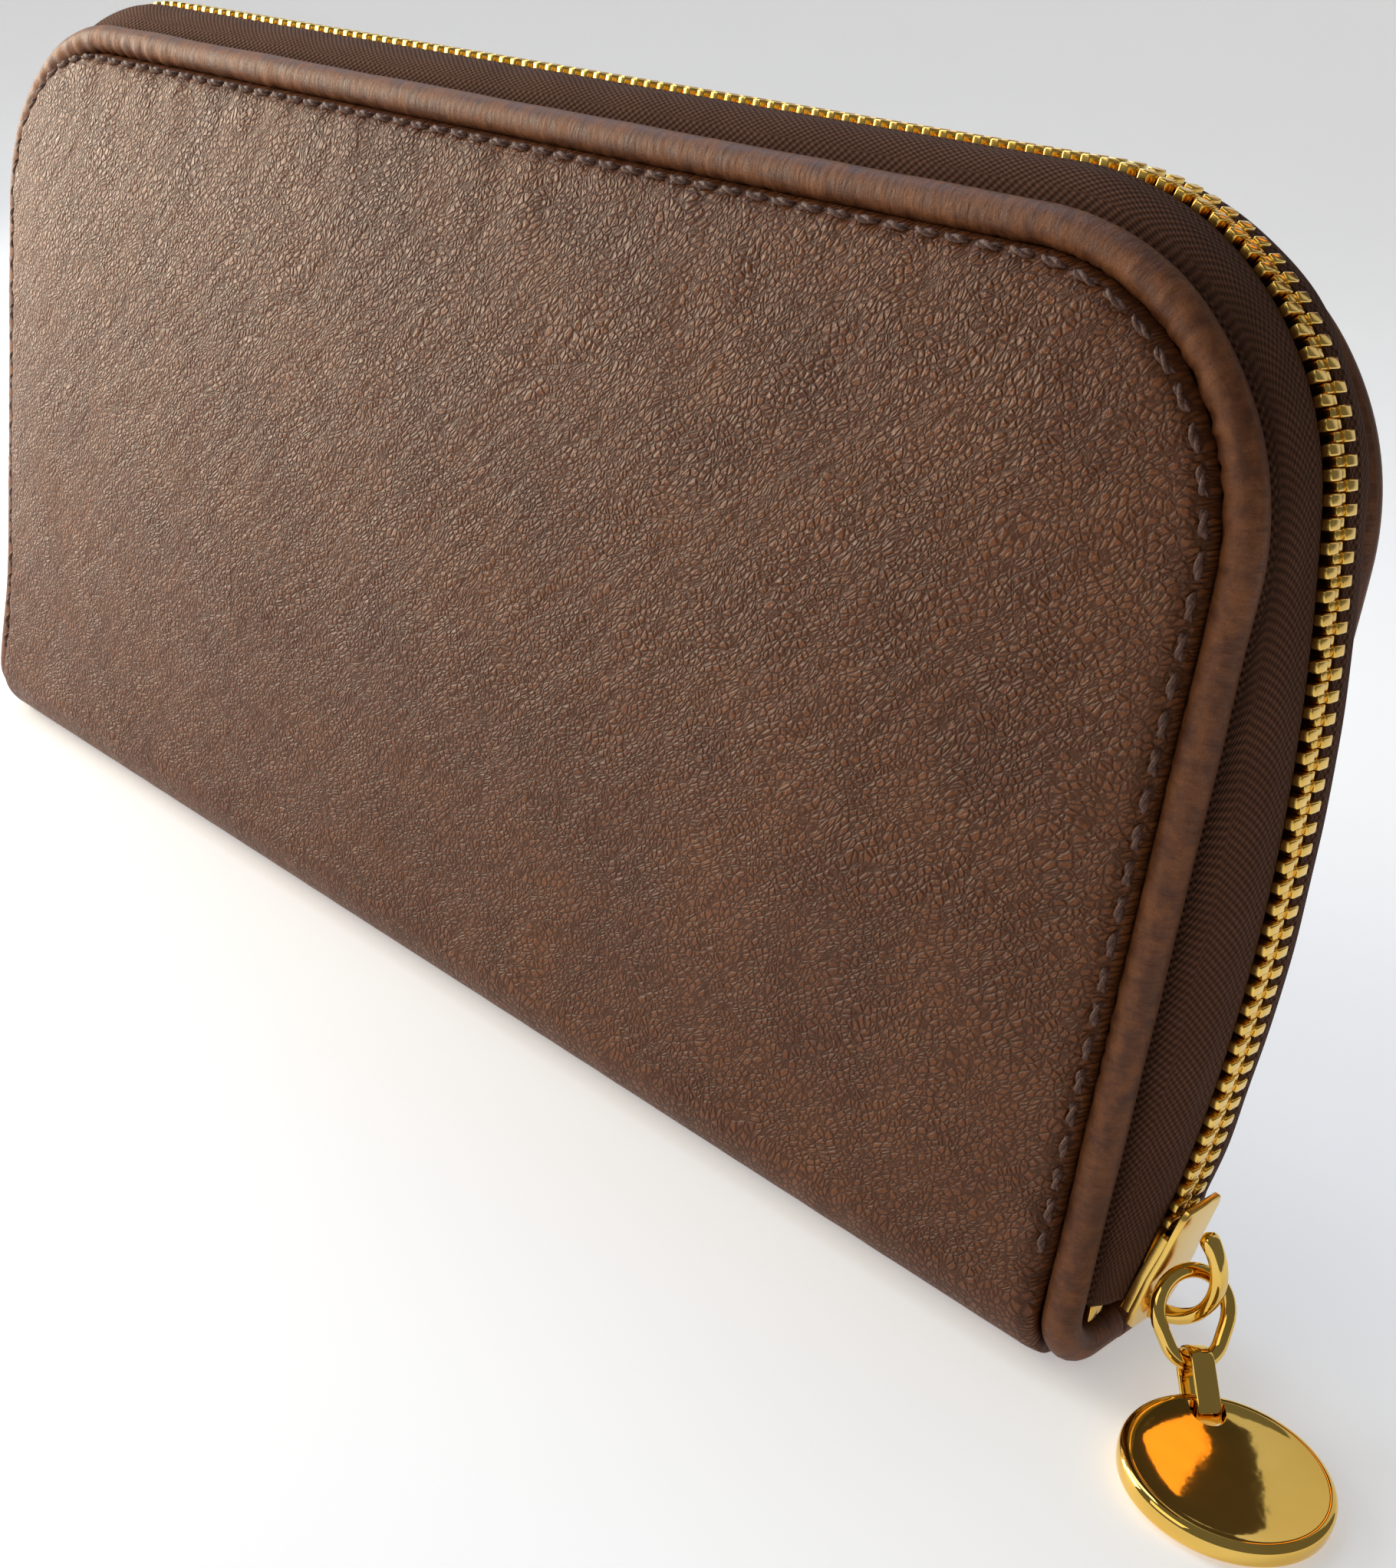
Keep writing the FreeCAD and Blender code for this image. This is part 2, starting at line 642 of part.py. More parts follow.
def stitching(label, side):
    """The seam beside the rolled edge, as separate stitches."""
    edges = cover_outline(value("stitch_inset"), value("stitch_low"), side * value("stitch_depth"))
    pitch = value("stitch_pitch")
    half_thick = value("stitch_thick") / 2
    half = Vector(half_thick, half_thick, value("stitch_length") / 2)
    stitches = []
    for number in range(int(sum(edge.Length for edge in edges) / pitch)):
        stitch = box(half * -1, half)
        stitch.Placement = on_path(edges, (number + 0.5) * pitch)
        stitches.append(stitch)
    PIECES.append(group(label, stitches))


for name, side in SIDES.items():
    stitching(f"{name}_stitching", side)


# ---------------------------------------------------------------- card panels and pockets

def slab(label, low, high):
    """A flat box from two corners given as expressions."""
    feature = doc.addObject("Part::Box", "Box_" + label)
    feature.Label = label
    for size, axis, start, end in zip(("Length", "Width", "Height"), "xyz", low, high):
        feature.setExpression(size, bind(f"({end}) - ({start})"))
        feature.setExpression(f"Placement.Base.{axis}", bind(start))
    PIECES.append(feature)
    return feature


def depth_range(side, inner, thick):
    """Lower and upper Y of a layer whose inner face is at a depth, as expressions."""
    outer = f"({inner}) + {thick}"
    return (f"-({outer})", f"-({inner})") if side < 0 else (inner, outer)


SLOT_ROWS = 4


def card_pockets(label, side):
    """Two columns of card pockets, each strip's upper edge standing clear of the strip above it."""
    length = value("slot_length")
    height = value("slot_height")
    thick = value("card_thick")
    back = value(CARD_INNER) - value("layer_gap")
    lean = Rotation(Vector(1, 0, 0), side * value("slot_lean"))
    strips = []
    for column in (-1, 1):
        for row in range(SLOT_ROWS):
            strip = box(Vector(-length / 2, min(0, -side * thick), 0),
                        Vector(length / 2, max(0, -side * thick), height))
            middle = column * (value("card_half_length") - length / 2)
            low = value("slot_low") + row * value("slot_step")
            strip.Placement = Placement(Vector(middle, side * back, low), lean)
            strips.append(strip)
    PIECES.append(group(label, strips))


for name, side in SIDES.items():
    near, far = depth_range(side, CARD_INNER, "card_thick")
    slab(f"{name}_card_panel",
         ("-card_half_length", near, "card_low"), ("card_half_length", far, "card_high"))
    card_pockets(f"{name}_card_pockets", side)


# ---------------------------------------------------------------- gussets

def gusset(label, end):
    """One end's fan of cloth, folded twice, sewn to both linings and round the coin pocket's end."""
    outer = value("gusset_end")
    fold = value("gusset_fold")
    half = value("gusset_thick") / 2
    middle = value("gusset_middle")
    front_half = [
        Vector(outer, -value("gusset_spread"), 0),
        Vector(fold, -value("gusset_fold_depth"), 0),
        Vector(middle, -value("gusset_middle_depth"), 0),
    ]
    rear_half = [Vector(point.x, -point.y, 0) for point in reversed(front_half)]
    path = Part.makePolygon(front_half + rear_half)
    ribbon = path.makeOffset2D(half, fill=False, openResult=False)
    solid = Part.Face(ribbon).extrude(Vector(0, 0, value("gusset_high") - value("gusset_low")))
    solid.translate(Vector(0, 0, value("gusset_low")))
    if end < 0:
        solid = solid.mirror(Vector(0, 0, 0), Vector(1, 0, 0))
    PIECES.append(group(label, [solid]))


gusset("left_gusset", -1)
gusset("right_gusset", 1)


# ---------------------------------------------------------------- coin pocket

for name, side in SIDES.items():
    near, far = depth_range(side, "pocket_gap", "pocket_thick")
    slab(f"coin_pocket_{name}",
         ("-pocket_half_length", near, "pocket_low"), ("pocket_half_length", far, "pocket_high"))
    near, far = depth_range(side, "pocket_gap + layer_gap", "coin_tape_thick")
    slab(f"coin_{name}_tape",
         ("-(pocket_half_length - coin_tape_inset)", near, "pocket_high + layer_gap"),
         ("pocket_half_length - coin_tape_inset", far, "coin_tape_high"))


def coin_seam():
    """The bound seam along the bottom and up both ends of the coin pocket."""
    half = value("pocket_half_length")
    gap = value("layer_gap")
    depth = value("pocket_gap") - gap / 2
    low = value("pocket_low")
    high = value("pocket_high")
    width = value("seam_width")
    strips = [box(Vector(-half, -depth, low), Vector(half, depth, low + width))]
    for end in (-1, 1):
        sides = sorted((end * half, end * (half - width)))
        strips.append(box(Vector(sides[0], -depth, low + width + gap), Vector(sides[1], depth, high)))
    PIECES.append(group("coin_pocket_seam", strips))


COIN_TOOTH_HALF = 0.3
COIN_TOOTH_BACK = 0.85
COIN_TOOTH_NOSE = 0.3
COIN_TOOTH_RISE = 1.6


def coin_teeth():
    """Two meshed rows of small teeth, ending at the closed slider."""
    pitch = value("coin_tooth_pitch")
    start = value("coin_teeth_inset") - value("pocket_half_length")
    end = value("coin_slider_place") - value("coin_slider_length") / 2 - pitch
    high = value("coin_tape_high")
    teeth = []
    for number in range(int((end - start) / pitch)):
        for side in (-1, 1):
            middle = start + (number + side / 4) * pitch
            depths = sorted((side * COIN_TOOTH_BACK, -side * COIN_TOOTH_NOSE))
            teeth.append(box(Vector(middle - COIN_TOOTH_HALF, depths[0], high - COIN_TOOTH_RISE),
                             Vector(middle + COIN_TOOTH_HALF, depths[1], high)))
    PIECES.append(group("coin_zip_teeth", teeth))


SADDLE_GAP = 0.3
SADDLE_THICK = 0.6
SADDLE_HALF = 2.1
SADDLE_SKIRT = 2.0
SKIRT_THICK = 0.55
STAPLE_INNER = 1.05
STAPLE_OUTER = 1.75
STAPLE_HALF = 0.5
STAPLE_HEIGHT = 2.2
STAPLE_BAR = 0.6
COIN_BAR_HEIGHT = 0.9
COIN_PULL_HALF = 0.3
COIN_PULL_HALF_WIDTH = 1.6
COIN_PULL_END = 0.35
COIN_EYE_LENGTH = 2.25
COIN_EYE_HALF = 0.8


def coin_slider():
    """A saddle over the coin zip, with a staple that holds its pull."""
    middle = value("coin_slider_place")
    half = value("coin_slider_length") / 2
    floor = value("coin_tape_high") + SADDLE_GAP
    top = floor + SADDLE_THICK
    crown = top + STAPLE_HEIGHT
    blocks = [box(Vector(middle - half, -SADDLE_HALF, floor), Vector(middle + half, SADDLE_HALF, top))]
    for side in (-1, 1):
        depths = sorted((side * (SADDLE_HALF - SKIRT_THICK), side * SADDLE_HALF))
        blocks.append(box(Vector(middle - half, depths[0], floor - SADDLE_SKIRT),
                          Vector(middle + half, depths[1], floor)))
        legs = sorted((side * STAPLE_INNER, side * STAPLE_OUTER))
        blocks.append(box(Vector(middle + legs[0], -STAPLE_HALF, top),
                          Vector(middle + legs[1], STAPLE_HALF, crown)))
    blocks.append(box(Vector(middle - STAPLE_OUTER, -STAPLE_HALF, crown - STAPLE_BAR),
                      Vector(middle + STAPLE_OUTER, STAPLE_HALF, crown)))
    PIECES.append(group("coin_slider_body", [blocks[0].multiFuse(blocks[1:]).removeSplitter()]))
    bar = top + COIN_BAR_HEIGHT
    inner_end = middle + COIN_PULL_END
    eye_end = middle - COIN_PULL_END
    tab = box(Vector(middle - value("coin_pull_length"), -COIN_PULL_HALF_WIDTH, bar - COIN_PULL_HALF),
              Vector(inner_end, COIN_PULL_HALF_WIDTH, bar + COIN_PULL_HALF))
    eye = box(Vector(eye_end - COIN_EYE_LENGTH, -COIN_EYE_HALF, bar - 2 * COIN_PULL_HALF),
              Vector(eye_end, COIN_EYE_HALF, bar + 2 * COIN_PULL_HALF))
    PIECES.append(group("coin_slider_pull", [tab.cut(eye)]))


coin_seam()
coin_teeth()
coin_slider()


# ---------------------------------------------------------------- slider

SLIDER_MIDDLE = ray(LEG_CENTRE, LEG_RADIUS, SLIDER_ANGLE, 0)
SLIDER_LEAN = -math.degrees(SLIDER_ANGLE) + value("slider_tip")
SLIDER_FRAME = Placement(SLIDER_MIDDLE, Rotation(Vector(0, 1, 0), SLIDER_LEAN))

WING_LOW = "-slider_length / 2"
WING_NOSE = "-slider_length / 2 + wing_nose"
WING_HIGH = "slider_length / 2"

WING_CORNERS = [
    ("-(wing_narrow - wing_corner)", WING_LOW),
    ("wing_narrow - wing_corner", WING_LOW),
    ("wing_wide", WING_NOSE),
    ("wing_wide", "-wing_waist_low"),
    ("wing_narrow", "wing_waist_high"),
    ("wing_narrow - wing_taper", WING_HIGH),
    ("-(wing_narrow - wing_taper)", WING_HIGH),
    ("-wing_narrow", "wing_waist_high"),
    ("-wing_wide", "-wing_waist_low"),
    ("-wing_wide", WING_NOSE),
]


def flange_corners(side):
    """One side flange, following the wing's edge."""
    inner = "(wing_narrow - flange_thick + flange_ease)"
    return [
        (f"{side} * wing_wide", WING_NOSE),
        (f"{side} * wing_wide", "-wing_waist_low"),
        (f"{side} * wing_narrow", "wing_waist_high"),
        (f"{side} * (wing_narrow - flange_step)", "flange_high"),
        (f"{side} * {inner}", "flange_high"),
        (f"{side} * {inner}", "wing_waist_high"),
        (f"{side} * (wing_wide - flange_thick)", "-wing_waist_low"),
        (f"{side} * (wing_wide - flange_thick)", WING_NOSE),
    ]


def slider_body():
    """Two wing plates joined by a wedge, with side flanges that leave a slot for each tape."""
    body = new_body("slider_body")
    wedge = new_sketch(body, "Wedge", "YZ_Plane")
    draw(wedge, [
        ("0", "-wedge_low"),
        ("wedge_half_width", "-wedge_wide_place"),
        ("0", "-wedge_high"),
        ("-wedge_half_width", "-wedge_wide_place"),
    ])
    pad(body, wedge, "2 * (wing_gap + wedge_bite)", midplane=True)
    for name, offset in (("Outer", "wing_gap"), ("Inner", "-(wing_gap + wing_thick)")):
        wing = new_sketch(body, name + "_wing", "YZ_Plane", offset)
        draw(wing, WING_CORNERS)
        pad(body, wing, "wing_thick")
    for name, offset in (("Outer", "flange_slot"), ("Inner", "-wing_gap")):
        for side in (-1, 1):
            flange = new_sketch(body, f"{name}_flange_{'right' if side > 0 else 'left'}", "YZ_Plane", offset)
            draw(flange, flange_corners(side))
            pad(body, flange, "wing_gap - flange_slot")
    body.Placement = SLIDER_FRAME
    PIECES.append(body)


def slider_bridge():
    """The bow over the outer wing, open at its upper end, that carries the ring."""
    body = new_body("slider_bridge")
    sketch = new_sketch(body, "Bow", "XZ_Plane")
    face = "wing_gap + wing_thick"
    small = "(bridge_radius - bridge_thick / 2)"
    large = "(bridge_radius + bridge_thick / 2)"
    mouth = "(bridge_sink + bridge_mouth)"
    draw(sketch, [
        (face, f"-sqrt({small} ^ 2 - bridge_sink ^ 2) - bridge_shift"),
        (face, f"-sqrt({large} ^ 2 - bridge_sink ^ 2) - bridge_shift", large, 1),
        (f"{face} + bridge_mouth", f"sqrt({large} ^ 2 - {mouth} ^ 2) - bridge_shift"),
        (f"{face} + bridge_mouth", f"sqrt({small} ^ 2 - {mouth} ^ 2) - bridge_shift", small, -1),
    ])
    pad(body, sketch, "bridge_width", midplane=True)
    body.Placement = SLIDER_FRAME
    PIECES.append(body)


slider_body()
slider_bridge()


# ---------------------------------------------------------------- pull

UP = Vector(0, 0, 1)
RING_TURN = Rotation(UP, -value("ring_turn"))
LINK_TURN = Rotation(UP, -value("link_turn"))
DISC_TURN = Rotation(UP, -value("disc_turn"))


def leaning(turn, angle, reach):
    """A step of a given reach, outwards along a turned direction and leaning down out of the level."""
    return turn.multVec(Vector(reach * math.cos(angle), 0, -reach * math.sin(angle)))


RING_TOP = SLIDER_FRAME.multVec(Vector(value("ring_seat"), 0, value("ring_rise")))
RING_DROP = math.radians(90 - value("ring_lean"))
RING_LOW = RING_TOP + leaning(RING_TURN, RING_DROP, value("ring_reach"))
LINK_DROP = math.asin((RING_LOW.z - value("bar_height")) / value("link_reach"))
BAR_PLACE = RING_LOW + leaning(LINK_TURN, LINK_DROP, value("link_reach"))
BAR_RADIUS = value("disc_radius") - value("disc_rim") / 2
DISC_DROP = math.asin((value("bar_height") - value("disc_thick") / 2) / (BAR_RADIUS + value("disc_radius")))
DISC_PLACE = BAR_PLACE + leaning(DISC_TURN, DISC_DROP, BAR_RADIUS)


def pull_ring():
    body = new_body("pull_ring")
    path = new_sketch(body, "Ring_path", "YZ_Plane")
    slope = "((ring_top_radius - ring_low_radius) / (ring_reach - ring_top_radius - ring_low_radius))"
    level = f"sqrt(1 - {slope} ^ 2)"
    upper = (f"ring_top_radius * {level}", f"-ring_top_radius * (1 + {slope})")
    lower = (f"ring_low_radius * {level}", f"-(ring_reach - ring_low_radius) - ring_low_radius * {slope}")
    draw(path, [
        ("0", "0", "ring_top_radius", -1),
        upper,
        (lower[0], lower[1], "ring_low_radius", -1),
        (f"-{lower[0]}", lower[1]),
        (f"-{upper[0]}", upper[1], "ring_top_radius", -1),
    ])
    section = new_sketch(body, "Ring_wire", "XZ_Plane")
    draw_circle(section, "0", "0", "ring_wire")
    pipe(body, section, path)
    body.Placement = Placement(RING_TOP, RING_TURN * Rotation(Vector(0, 1, 0), -value("ring_lean")))
    PIECES.append(body)


def link_outline(radius, span):
    """Corners of a slot shape along +Z, its lower bend round the origin."""
    return [
        (f"-({radius})", "0", radius, 1),
        ("0", f"-({radius})", radius, 1),
        (radius, "0"),
        (radius, span, radius, 1),
        ("0", f"{span} + {radius}", radius, 1),
        (f"-({radius})", span),
    ]


def pull_link():
    body = new_body("pull_link")
    span = "(link_reach - link_slack)"
    outside = new_sketch(body, "Link_outside", "XZ_Plane")
    draw(outside, link_outline("(link_inside + link_thick)", span))
    pad(body, outside, "link_width", midplane=True)
    inside = new_sketch(body, "Link_inside", "XZ_Plane")
    draw(inside, link_outline("link_inside", span))
    pocket(body, inside, "link_width + 1", midplane=True)
    lean = Rotation(Vector(0, 1, 0), math.degrees(LINK_DROP) - 90)
    body.Placement = Placement(BAR_PLACE, LINK_TURN * lean)
    PIECES.append(body)


def pull_disc():
    """A round disc with a hollow upper face and a D-shaped slot beside its rim."""
    body = new_body("pull_disc")
    half = "disc_thick / 2"
    profile = new_sketch(body, "Disc_profile", "XZ_Plane")
    draw(profile, [
        ("0", f"-{half}"),
        ("disc_radius - disc_edge", f"-{half}", "disc_edge", 1),
        ("disc_radius", f"-{half} + disc_edge"),
        ("disc_radius", f"{half} - disc_edge", "disc_edge", 1),
        ("disc_radius - disc_edge", half),
        ("disc_radius - disc_face", half, "disc_bowl", -1),
        ("0", f"{half} - disc_dish"),
    ])
    turn = body.newObject("PartDesign::Revolution", "Disc_turn")
    turn.Profile = profile
    turn.ReferenceAxis = (profile, ["V_Axis"])
    turn.Angle = 360
    body.Tip = turn
    doc.recompute()
    slot = new_sketch(body, "Disc_slot", "XY_Plane")
    rim = "-(disc_radius - disc_rim)"
    bend = "disc_slot_width / 2"
    straight = f"{rim} + disc_slot_length - {bend}"
    draw(slot, [
        (rim, bend),
        (rim, f"-{bend}"),
        (straight, f"-{bend}", bend, 1),
        (f"{straight} + {bend}", "0", bend, 1),
        (straight, bend),
    ])
    pocket(body, slot, "disc_thick + 1", midplane=True)
    lean = Rotation(Vector(0, 1, 0), math.degrees(DISC_DROP))
    body.Placement = Placement(DISC_PLACE, DISC_TURN * lean)
    PIECES.append(body)


pull_ring()
pull_link()
pull_disc()


# ---------------------------------------------------------------- checks and files

doc.recompute()
for item in doc.Objects:
    if "Invalid" in item.State or "Error" in item.State:
        raise RuntimeError(f"{item.Label} did not rebuild: {item.State}")

os.makedirs("parts", exist_ok=True)
for piece in PIECES:
    if piece.Shape.isNull() or not piece.Shape.isValid():
        raise RuntimeError(f"{piece.Label} has no valid shape")
    piece.Shape.exportStep(f"parts/{piece.Label}.step")
    print(f"{piece.Label:22s} {piece.Shape.Volume:10.2f} mm3, {len(piece.Shape.Solids)} solid(s)")
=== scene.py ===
"""Looks of a zip-around long wallet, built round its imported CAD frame.

Shapes are worked out in millimetres and written in metres.
The slider is at the +X end, the front faces -Y and Z is up.
"""
import json
import math

import bmesh
import bpy
import numpy as np
from mathutils import Matrix, Vector

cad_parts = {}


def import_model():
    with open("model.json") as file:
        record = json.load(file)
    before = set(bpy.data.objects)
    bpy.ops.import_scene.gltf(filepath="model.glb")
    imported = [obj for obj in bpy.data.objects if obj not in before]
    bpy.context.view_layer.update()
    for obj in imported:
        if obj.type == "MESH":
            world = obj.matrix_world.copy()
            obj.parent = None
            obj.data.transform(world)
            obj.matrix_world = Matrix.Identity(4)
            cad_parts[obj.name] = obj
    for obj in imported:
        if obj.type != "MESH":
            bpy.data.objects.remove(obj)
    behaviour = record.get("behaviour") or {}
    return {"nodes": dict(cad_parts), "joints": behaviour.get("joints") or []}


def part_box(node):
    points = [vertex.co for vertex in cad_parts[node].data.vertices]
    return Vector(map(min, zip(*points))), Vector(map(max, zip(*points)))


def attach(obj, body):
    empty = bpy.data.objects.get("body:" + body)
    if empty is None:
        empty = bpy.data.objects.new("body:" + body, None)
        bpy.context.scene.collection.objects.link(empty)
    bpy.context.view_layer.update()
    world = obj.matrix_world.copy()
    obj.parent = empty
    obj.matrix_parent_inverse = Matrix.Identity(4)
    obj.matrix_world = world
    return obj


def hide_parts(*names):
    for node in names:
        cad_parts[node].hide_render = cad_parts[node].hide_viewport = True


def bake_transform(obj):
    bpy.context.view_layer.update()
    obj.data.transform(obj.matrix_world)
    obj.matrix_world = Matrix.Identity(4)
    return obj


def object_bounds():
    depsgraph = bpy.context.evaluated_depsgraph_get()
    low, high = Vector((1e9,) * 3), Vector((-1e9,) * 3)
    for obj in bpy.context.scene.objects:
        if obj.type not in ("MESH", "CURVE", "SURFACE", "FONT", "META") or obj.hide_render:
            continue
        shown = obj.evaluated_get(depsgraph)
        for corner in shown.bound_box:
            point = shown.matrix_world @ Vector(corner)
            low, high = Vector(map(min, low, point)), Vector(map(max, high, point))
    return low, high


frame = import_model()
cad_low, cad_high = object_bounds()

MM = 0.001
TAU = 2 * math.pi


# ---------------------------------------------------------------- sizes, from the frame

def span(node):
    """Lowest and highest corner of a CAD node, in millimetres."""
    low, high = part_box(node)
    return np.array(low) / MM, np.array(high) / MM


bead_low, bead_high = span("front_edge_bead")
cover_low, cover_high = span("front_cover")
tape_low, tape_high = span("front_zip_tape")

HALF_LENGTH = bead_high[0]
HEIGHT = bead_high[2]
BEAD_RADIUS = (bead_high[1] - bead_low[1]) / 2
BEAD_DEPTH = -(bead_high[1] + bead_low[1]) / 2
COVER_DEPTH = -cover_low[1]
FOLD_HEIGHT = cover_low[2]
CORNER = 25.0
TAPE_HALF = 0.3
CHAIN_HALF = tape_high[0] - TAPE_HALF
CHAIN_HEIGHT = tape_high[2] - TAPE_HALF
LEG_RADIUS = 180.0
LEG_MIDDLE = 42.0
CHAIN_BEND = 27.0
SPINE_BEND = 6.8
LIP_BEND = 5.25
LEATHER = 1.2
SEAM_INSET = 3.42
STITCH_INSET = 3.95
STITCH_PITCH = 3.2
STITCH_LOW = 9.5
TOOTH_PITCH = 1.85
SIDES = {"front": -1, "rear": 1}
SHOULDER = HALF_LENGTH - CORNER
SPRING = HEIGHT - CORNER


# ---------------------------------------------------------------- mesh helpers

def new_mesh(name, points, faces, flat=None, smooth=True):
    """A mesh object from points in millimetres; flat holds each point's place on the unrolled surface."""
    mesh = bpy.data.meshes.new(name)
    mesh.from_pydata((np.asarray(points, float) * MM).tolist(), [], [tuple(map(int, face)) for face in faces])
    mesh.update()
    if smooth:
        mesh.polygons.foreach_set("use_smooth", [True] * len(mesh.polygons))
    if flat is not None:
        corners = np.zeros(len(mesh.loops), np.int32)
        mesh.loops.foreach_get("vertex_index", corners)
        layer = mesh.uv_layers.new(name="Flat")
        layer.data.foreach_set("uv", (np.asarray(flat, float)[corners] * MM).ravel())
    piece = bpy.data.objects.new(name, mesh)
    bpy.context.scene.collection.objects.link(piece)
    return piece


def grid_faces(rows, columns, wrap=False, start=0, flip=False):
    """Quads between neighbouring rows and columns of a grid; wrap joins the last column to the first."""
    row, column = np.meshgrid(np.arange(rows - 1), np.arange(columns if wrap else columns - 1), indexing="ij")
    after = (column + 1) % columns
    quads = np.stack([row * columns + column, row * columns + after,
                      (row + 1) * columns + after, (row + 1) * columns + column], -1).reshape(-1, 4) + start
    return quads[:, ::-1] if flip else quads


def tube(name, rings, flat=None, closed=False):
    """A skin round rings of points. Open tubes get a face over each end."""
    count, around = rings.shape[:2]
    faces = [tuple(quad) for quad in grid_faces(count, around, wrap=True)]
    if closed:
        last = (count - 1) * around
        faces += [(last + k, last + (k + 1) % around, (k + 1) % around, k) for k in range(around)]
    else:
        faces.append(tuple(range(around))[::-1])
        faces.append(tuple(range((count - 1) * around, count * around)))
    points = rings.reshape(-1, 3)
    return new_mesh(name, points, faces, None if flat is None else flat.reshape(-1, 2))


def sheet_solid(name, outer, inner, flat):
    """A closed sheet between two grids of points."""
    rows, columns = outer.shape[:2]
    size = rows * columns
    faces = [tuple(quad) for quad in grid_faces(rows, columns)]
    faces += [tuple(quad) for quad in grid_faces(rows, columns, start=size, flip=True)]
    ring = list(range(columns))
    ring += [row * columns + columns - 1 for row in range(1, rows)]
    ring += [(rows - 1) * columns + k for k in range(columns - 2, -1, -1)]
    ring += [row * columns for row in range(rows - 2, 0, -1)]
    following = ring[1:] + ring[:1]
    faces += [(b, a, a + size, b + size) for a, b in zip(ring, following)]
    points = np.concatenate([outer.reshape(-1, 3), inner.reshape(-1, 3)])
    places = np.concatenate([flat.reshape(-1, 2), flat.reshape(-1, 2)])
    return new_mesh(name, points, faces, places)


def fix_normals(piece):
    """Turns every face outwards."""
    shape = bmesh.new()
    shape.from_mesh(piece.data)
    bmesh.ops.recalc_face_normals(shape, faces=shape.faces)
    shape.to_mesh(piece.data)
    shape.free()
    return piece


def taken(shape):
    """A bmesh's points and faces; the bmesh is freed."""
    shape.verts.index_update()
    points = np.array([vert.co for vert in shape.verts])
    faces = [tuple(vert.index for vert in face.verts) for face in shape.faces]
    shape.free()
    return points, faces


def raise_outline(shape, base, rise):
    """Extrudes a face on a ring of vertices; gives the vertices of its far side."""
    raised = bmesh.ops.extrude_face_region(shape, geom=[shape.faces.new(base)])["geom"]
    far = [item for item in raised if isinstance(item, bmesh.types.BMVert)]
    bmesh.ops.translate(shape, vec=rise, verts=far)
    return far


def unit(vector):
    return vector / np.linalg.norm(vector)


def circle(count):
    """Angles evenly round a circle."""
    return np.arange(count) * TAU / count


def running(points):
    """Distance along a row of points at each of them."""
    return np.concatenate([[0], np.cumsum(np.linalg.norm(np.diff(points, axis=0), axis=1))])


def sharpen(piece, degrees):
    """Smooth faces with sharp edges where they meet at more than an angle."""
    piece.data.set_sharp_from_angle(angle=math.radians(degrees))
    return piece


def place(piece, body, material, slot, *nodes):
    """Gives a piece its material, its body and the CAD nodes that it stands for."""
    piece.data.materials.append(material)
    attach(piece, body)
    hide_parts(*nodes)
    return piece


def place_over_fold(piece, material, slot, *nodes):
    """Gives a piece that runs round the spine's fold, from the rear cover to the front one, its material, bakes
    its placing into its mesh and hides the CAD nodes that it stands for; it goes on no body.
    """
    piece.data.materials.append(material)
    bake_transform(piece)
    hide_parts(*nodes)
    return piece


def waves(places, length, seed, count=6):
    """Smooth irregular ripples of about one wave length, from -1 to 1 at most places."""
    draw = np.random.default_rng(seed)
    total = np.zeros(places[0].shape)
    for _ in range(count):
        turn = draw.uniform(0, TAU)
        size = length * draw.uniform(0.65, 1.5)
        across = places[0] * math.cos(turn)
        if len(places) > 1:
            across = across + places[1] * math.sin(turn)
        total += np.sin(across * TAU / size + draw.uniform(0, TAU))
    return total / math.sqrt(count)


def step(value, low, high):
    """0 below low, 1 above high, and smooth between."""
    share = np.clip((value - low) / (high - low), 0, 1)
    return share * share * (3 - 2 * share)


# ---------------------------------------------------------------- paths round the wallet

LEG_STEPS = 96
BEND_STEPS = 50
TOP_STEPS = 200


def join(parts):
    """One row of points and normals from several that share their ends."""
    return np.concatenate([parts[0]] + [part[1:] for part in parts[1:]])


def arc(centre, radius, angles):
    """Points and outward normals on an arc."""
    normals = np.stack([np.cos(angles), np.sin(angles)], 1)
    return np.concatenate([np.array(centre) + radius * normals, normals], 1)


def line(start, end, normal, steps):
    """Points and normals on a straight line."""
    share = np.linspace(0, 1, steps + 1)[:, None]
    points = np.array(start) * (1 - share) + np.array(end) * share
    return np.concatenate([points, np.tile(normal, (steps + 1, 1))], 1)


def mirror_path(right):
    """The left half of a path, from its foot to the top, from the right half."""
    return right[::-1] * np.array([-1, 1, -1, 1])


def cover_path(inset, low):
    """x, z and outward normal along a cover's edge: up the left end, over the top, down the right end."""
    bend = arc((SHOULDER, SPRING), CORNER - inset, np.linspace(math.pi / 2, 0, BEND_STEPS + 1))
    side = HALF_LENGTH - inset
    leg = line((side, SPRING), (side, low), (1.0, 0.0), LEG_STEPS)
    right = join([bend, leg])
    top = line((-SHOULDER, HEIGHT - inset), (SHOULDER, HEIGHT - inset), (0.0, 1.0), TOP_STEPS)
    return join([mirror_path(right), top, right])


LEG_CENTRE = np.array([CHAIN_HALF - LEG_RADIUS, LEG_MIDDLE])
BEND_HEIGHT = CHAIN_HEIGHT - CHAIN_BEND
BEND_MIDDLE = LEG_CENTRE[0] + math.sqrt((LEG_RADIUS - CHAIN_BEND) ** 2 - (BEND_HEIGHT - LEG_MIDDLE) ** 2)
BEND_ANGLE = math.atan2(BEND_HEIGHT - LEG_MIDDLE, BEND_MIDDLE - LEG_CENTRE[0])


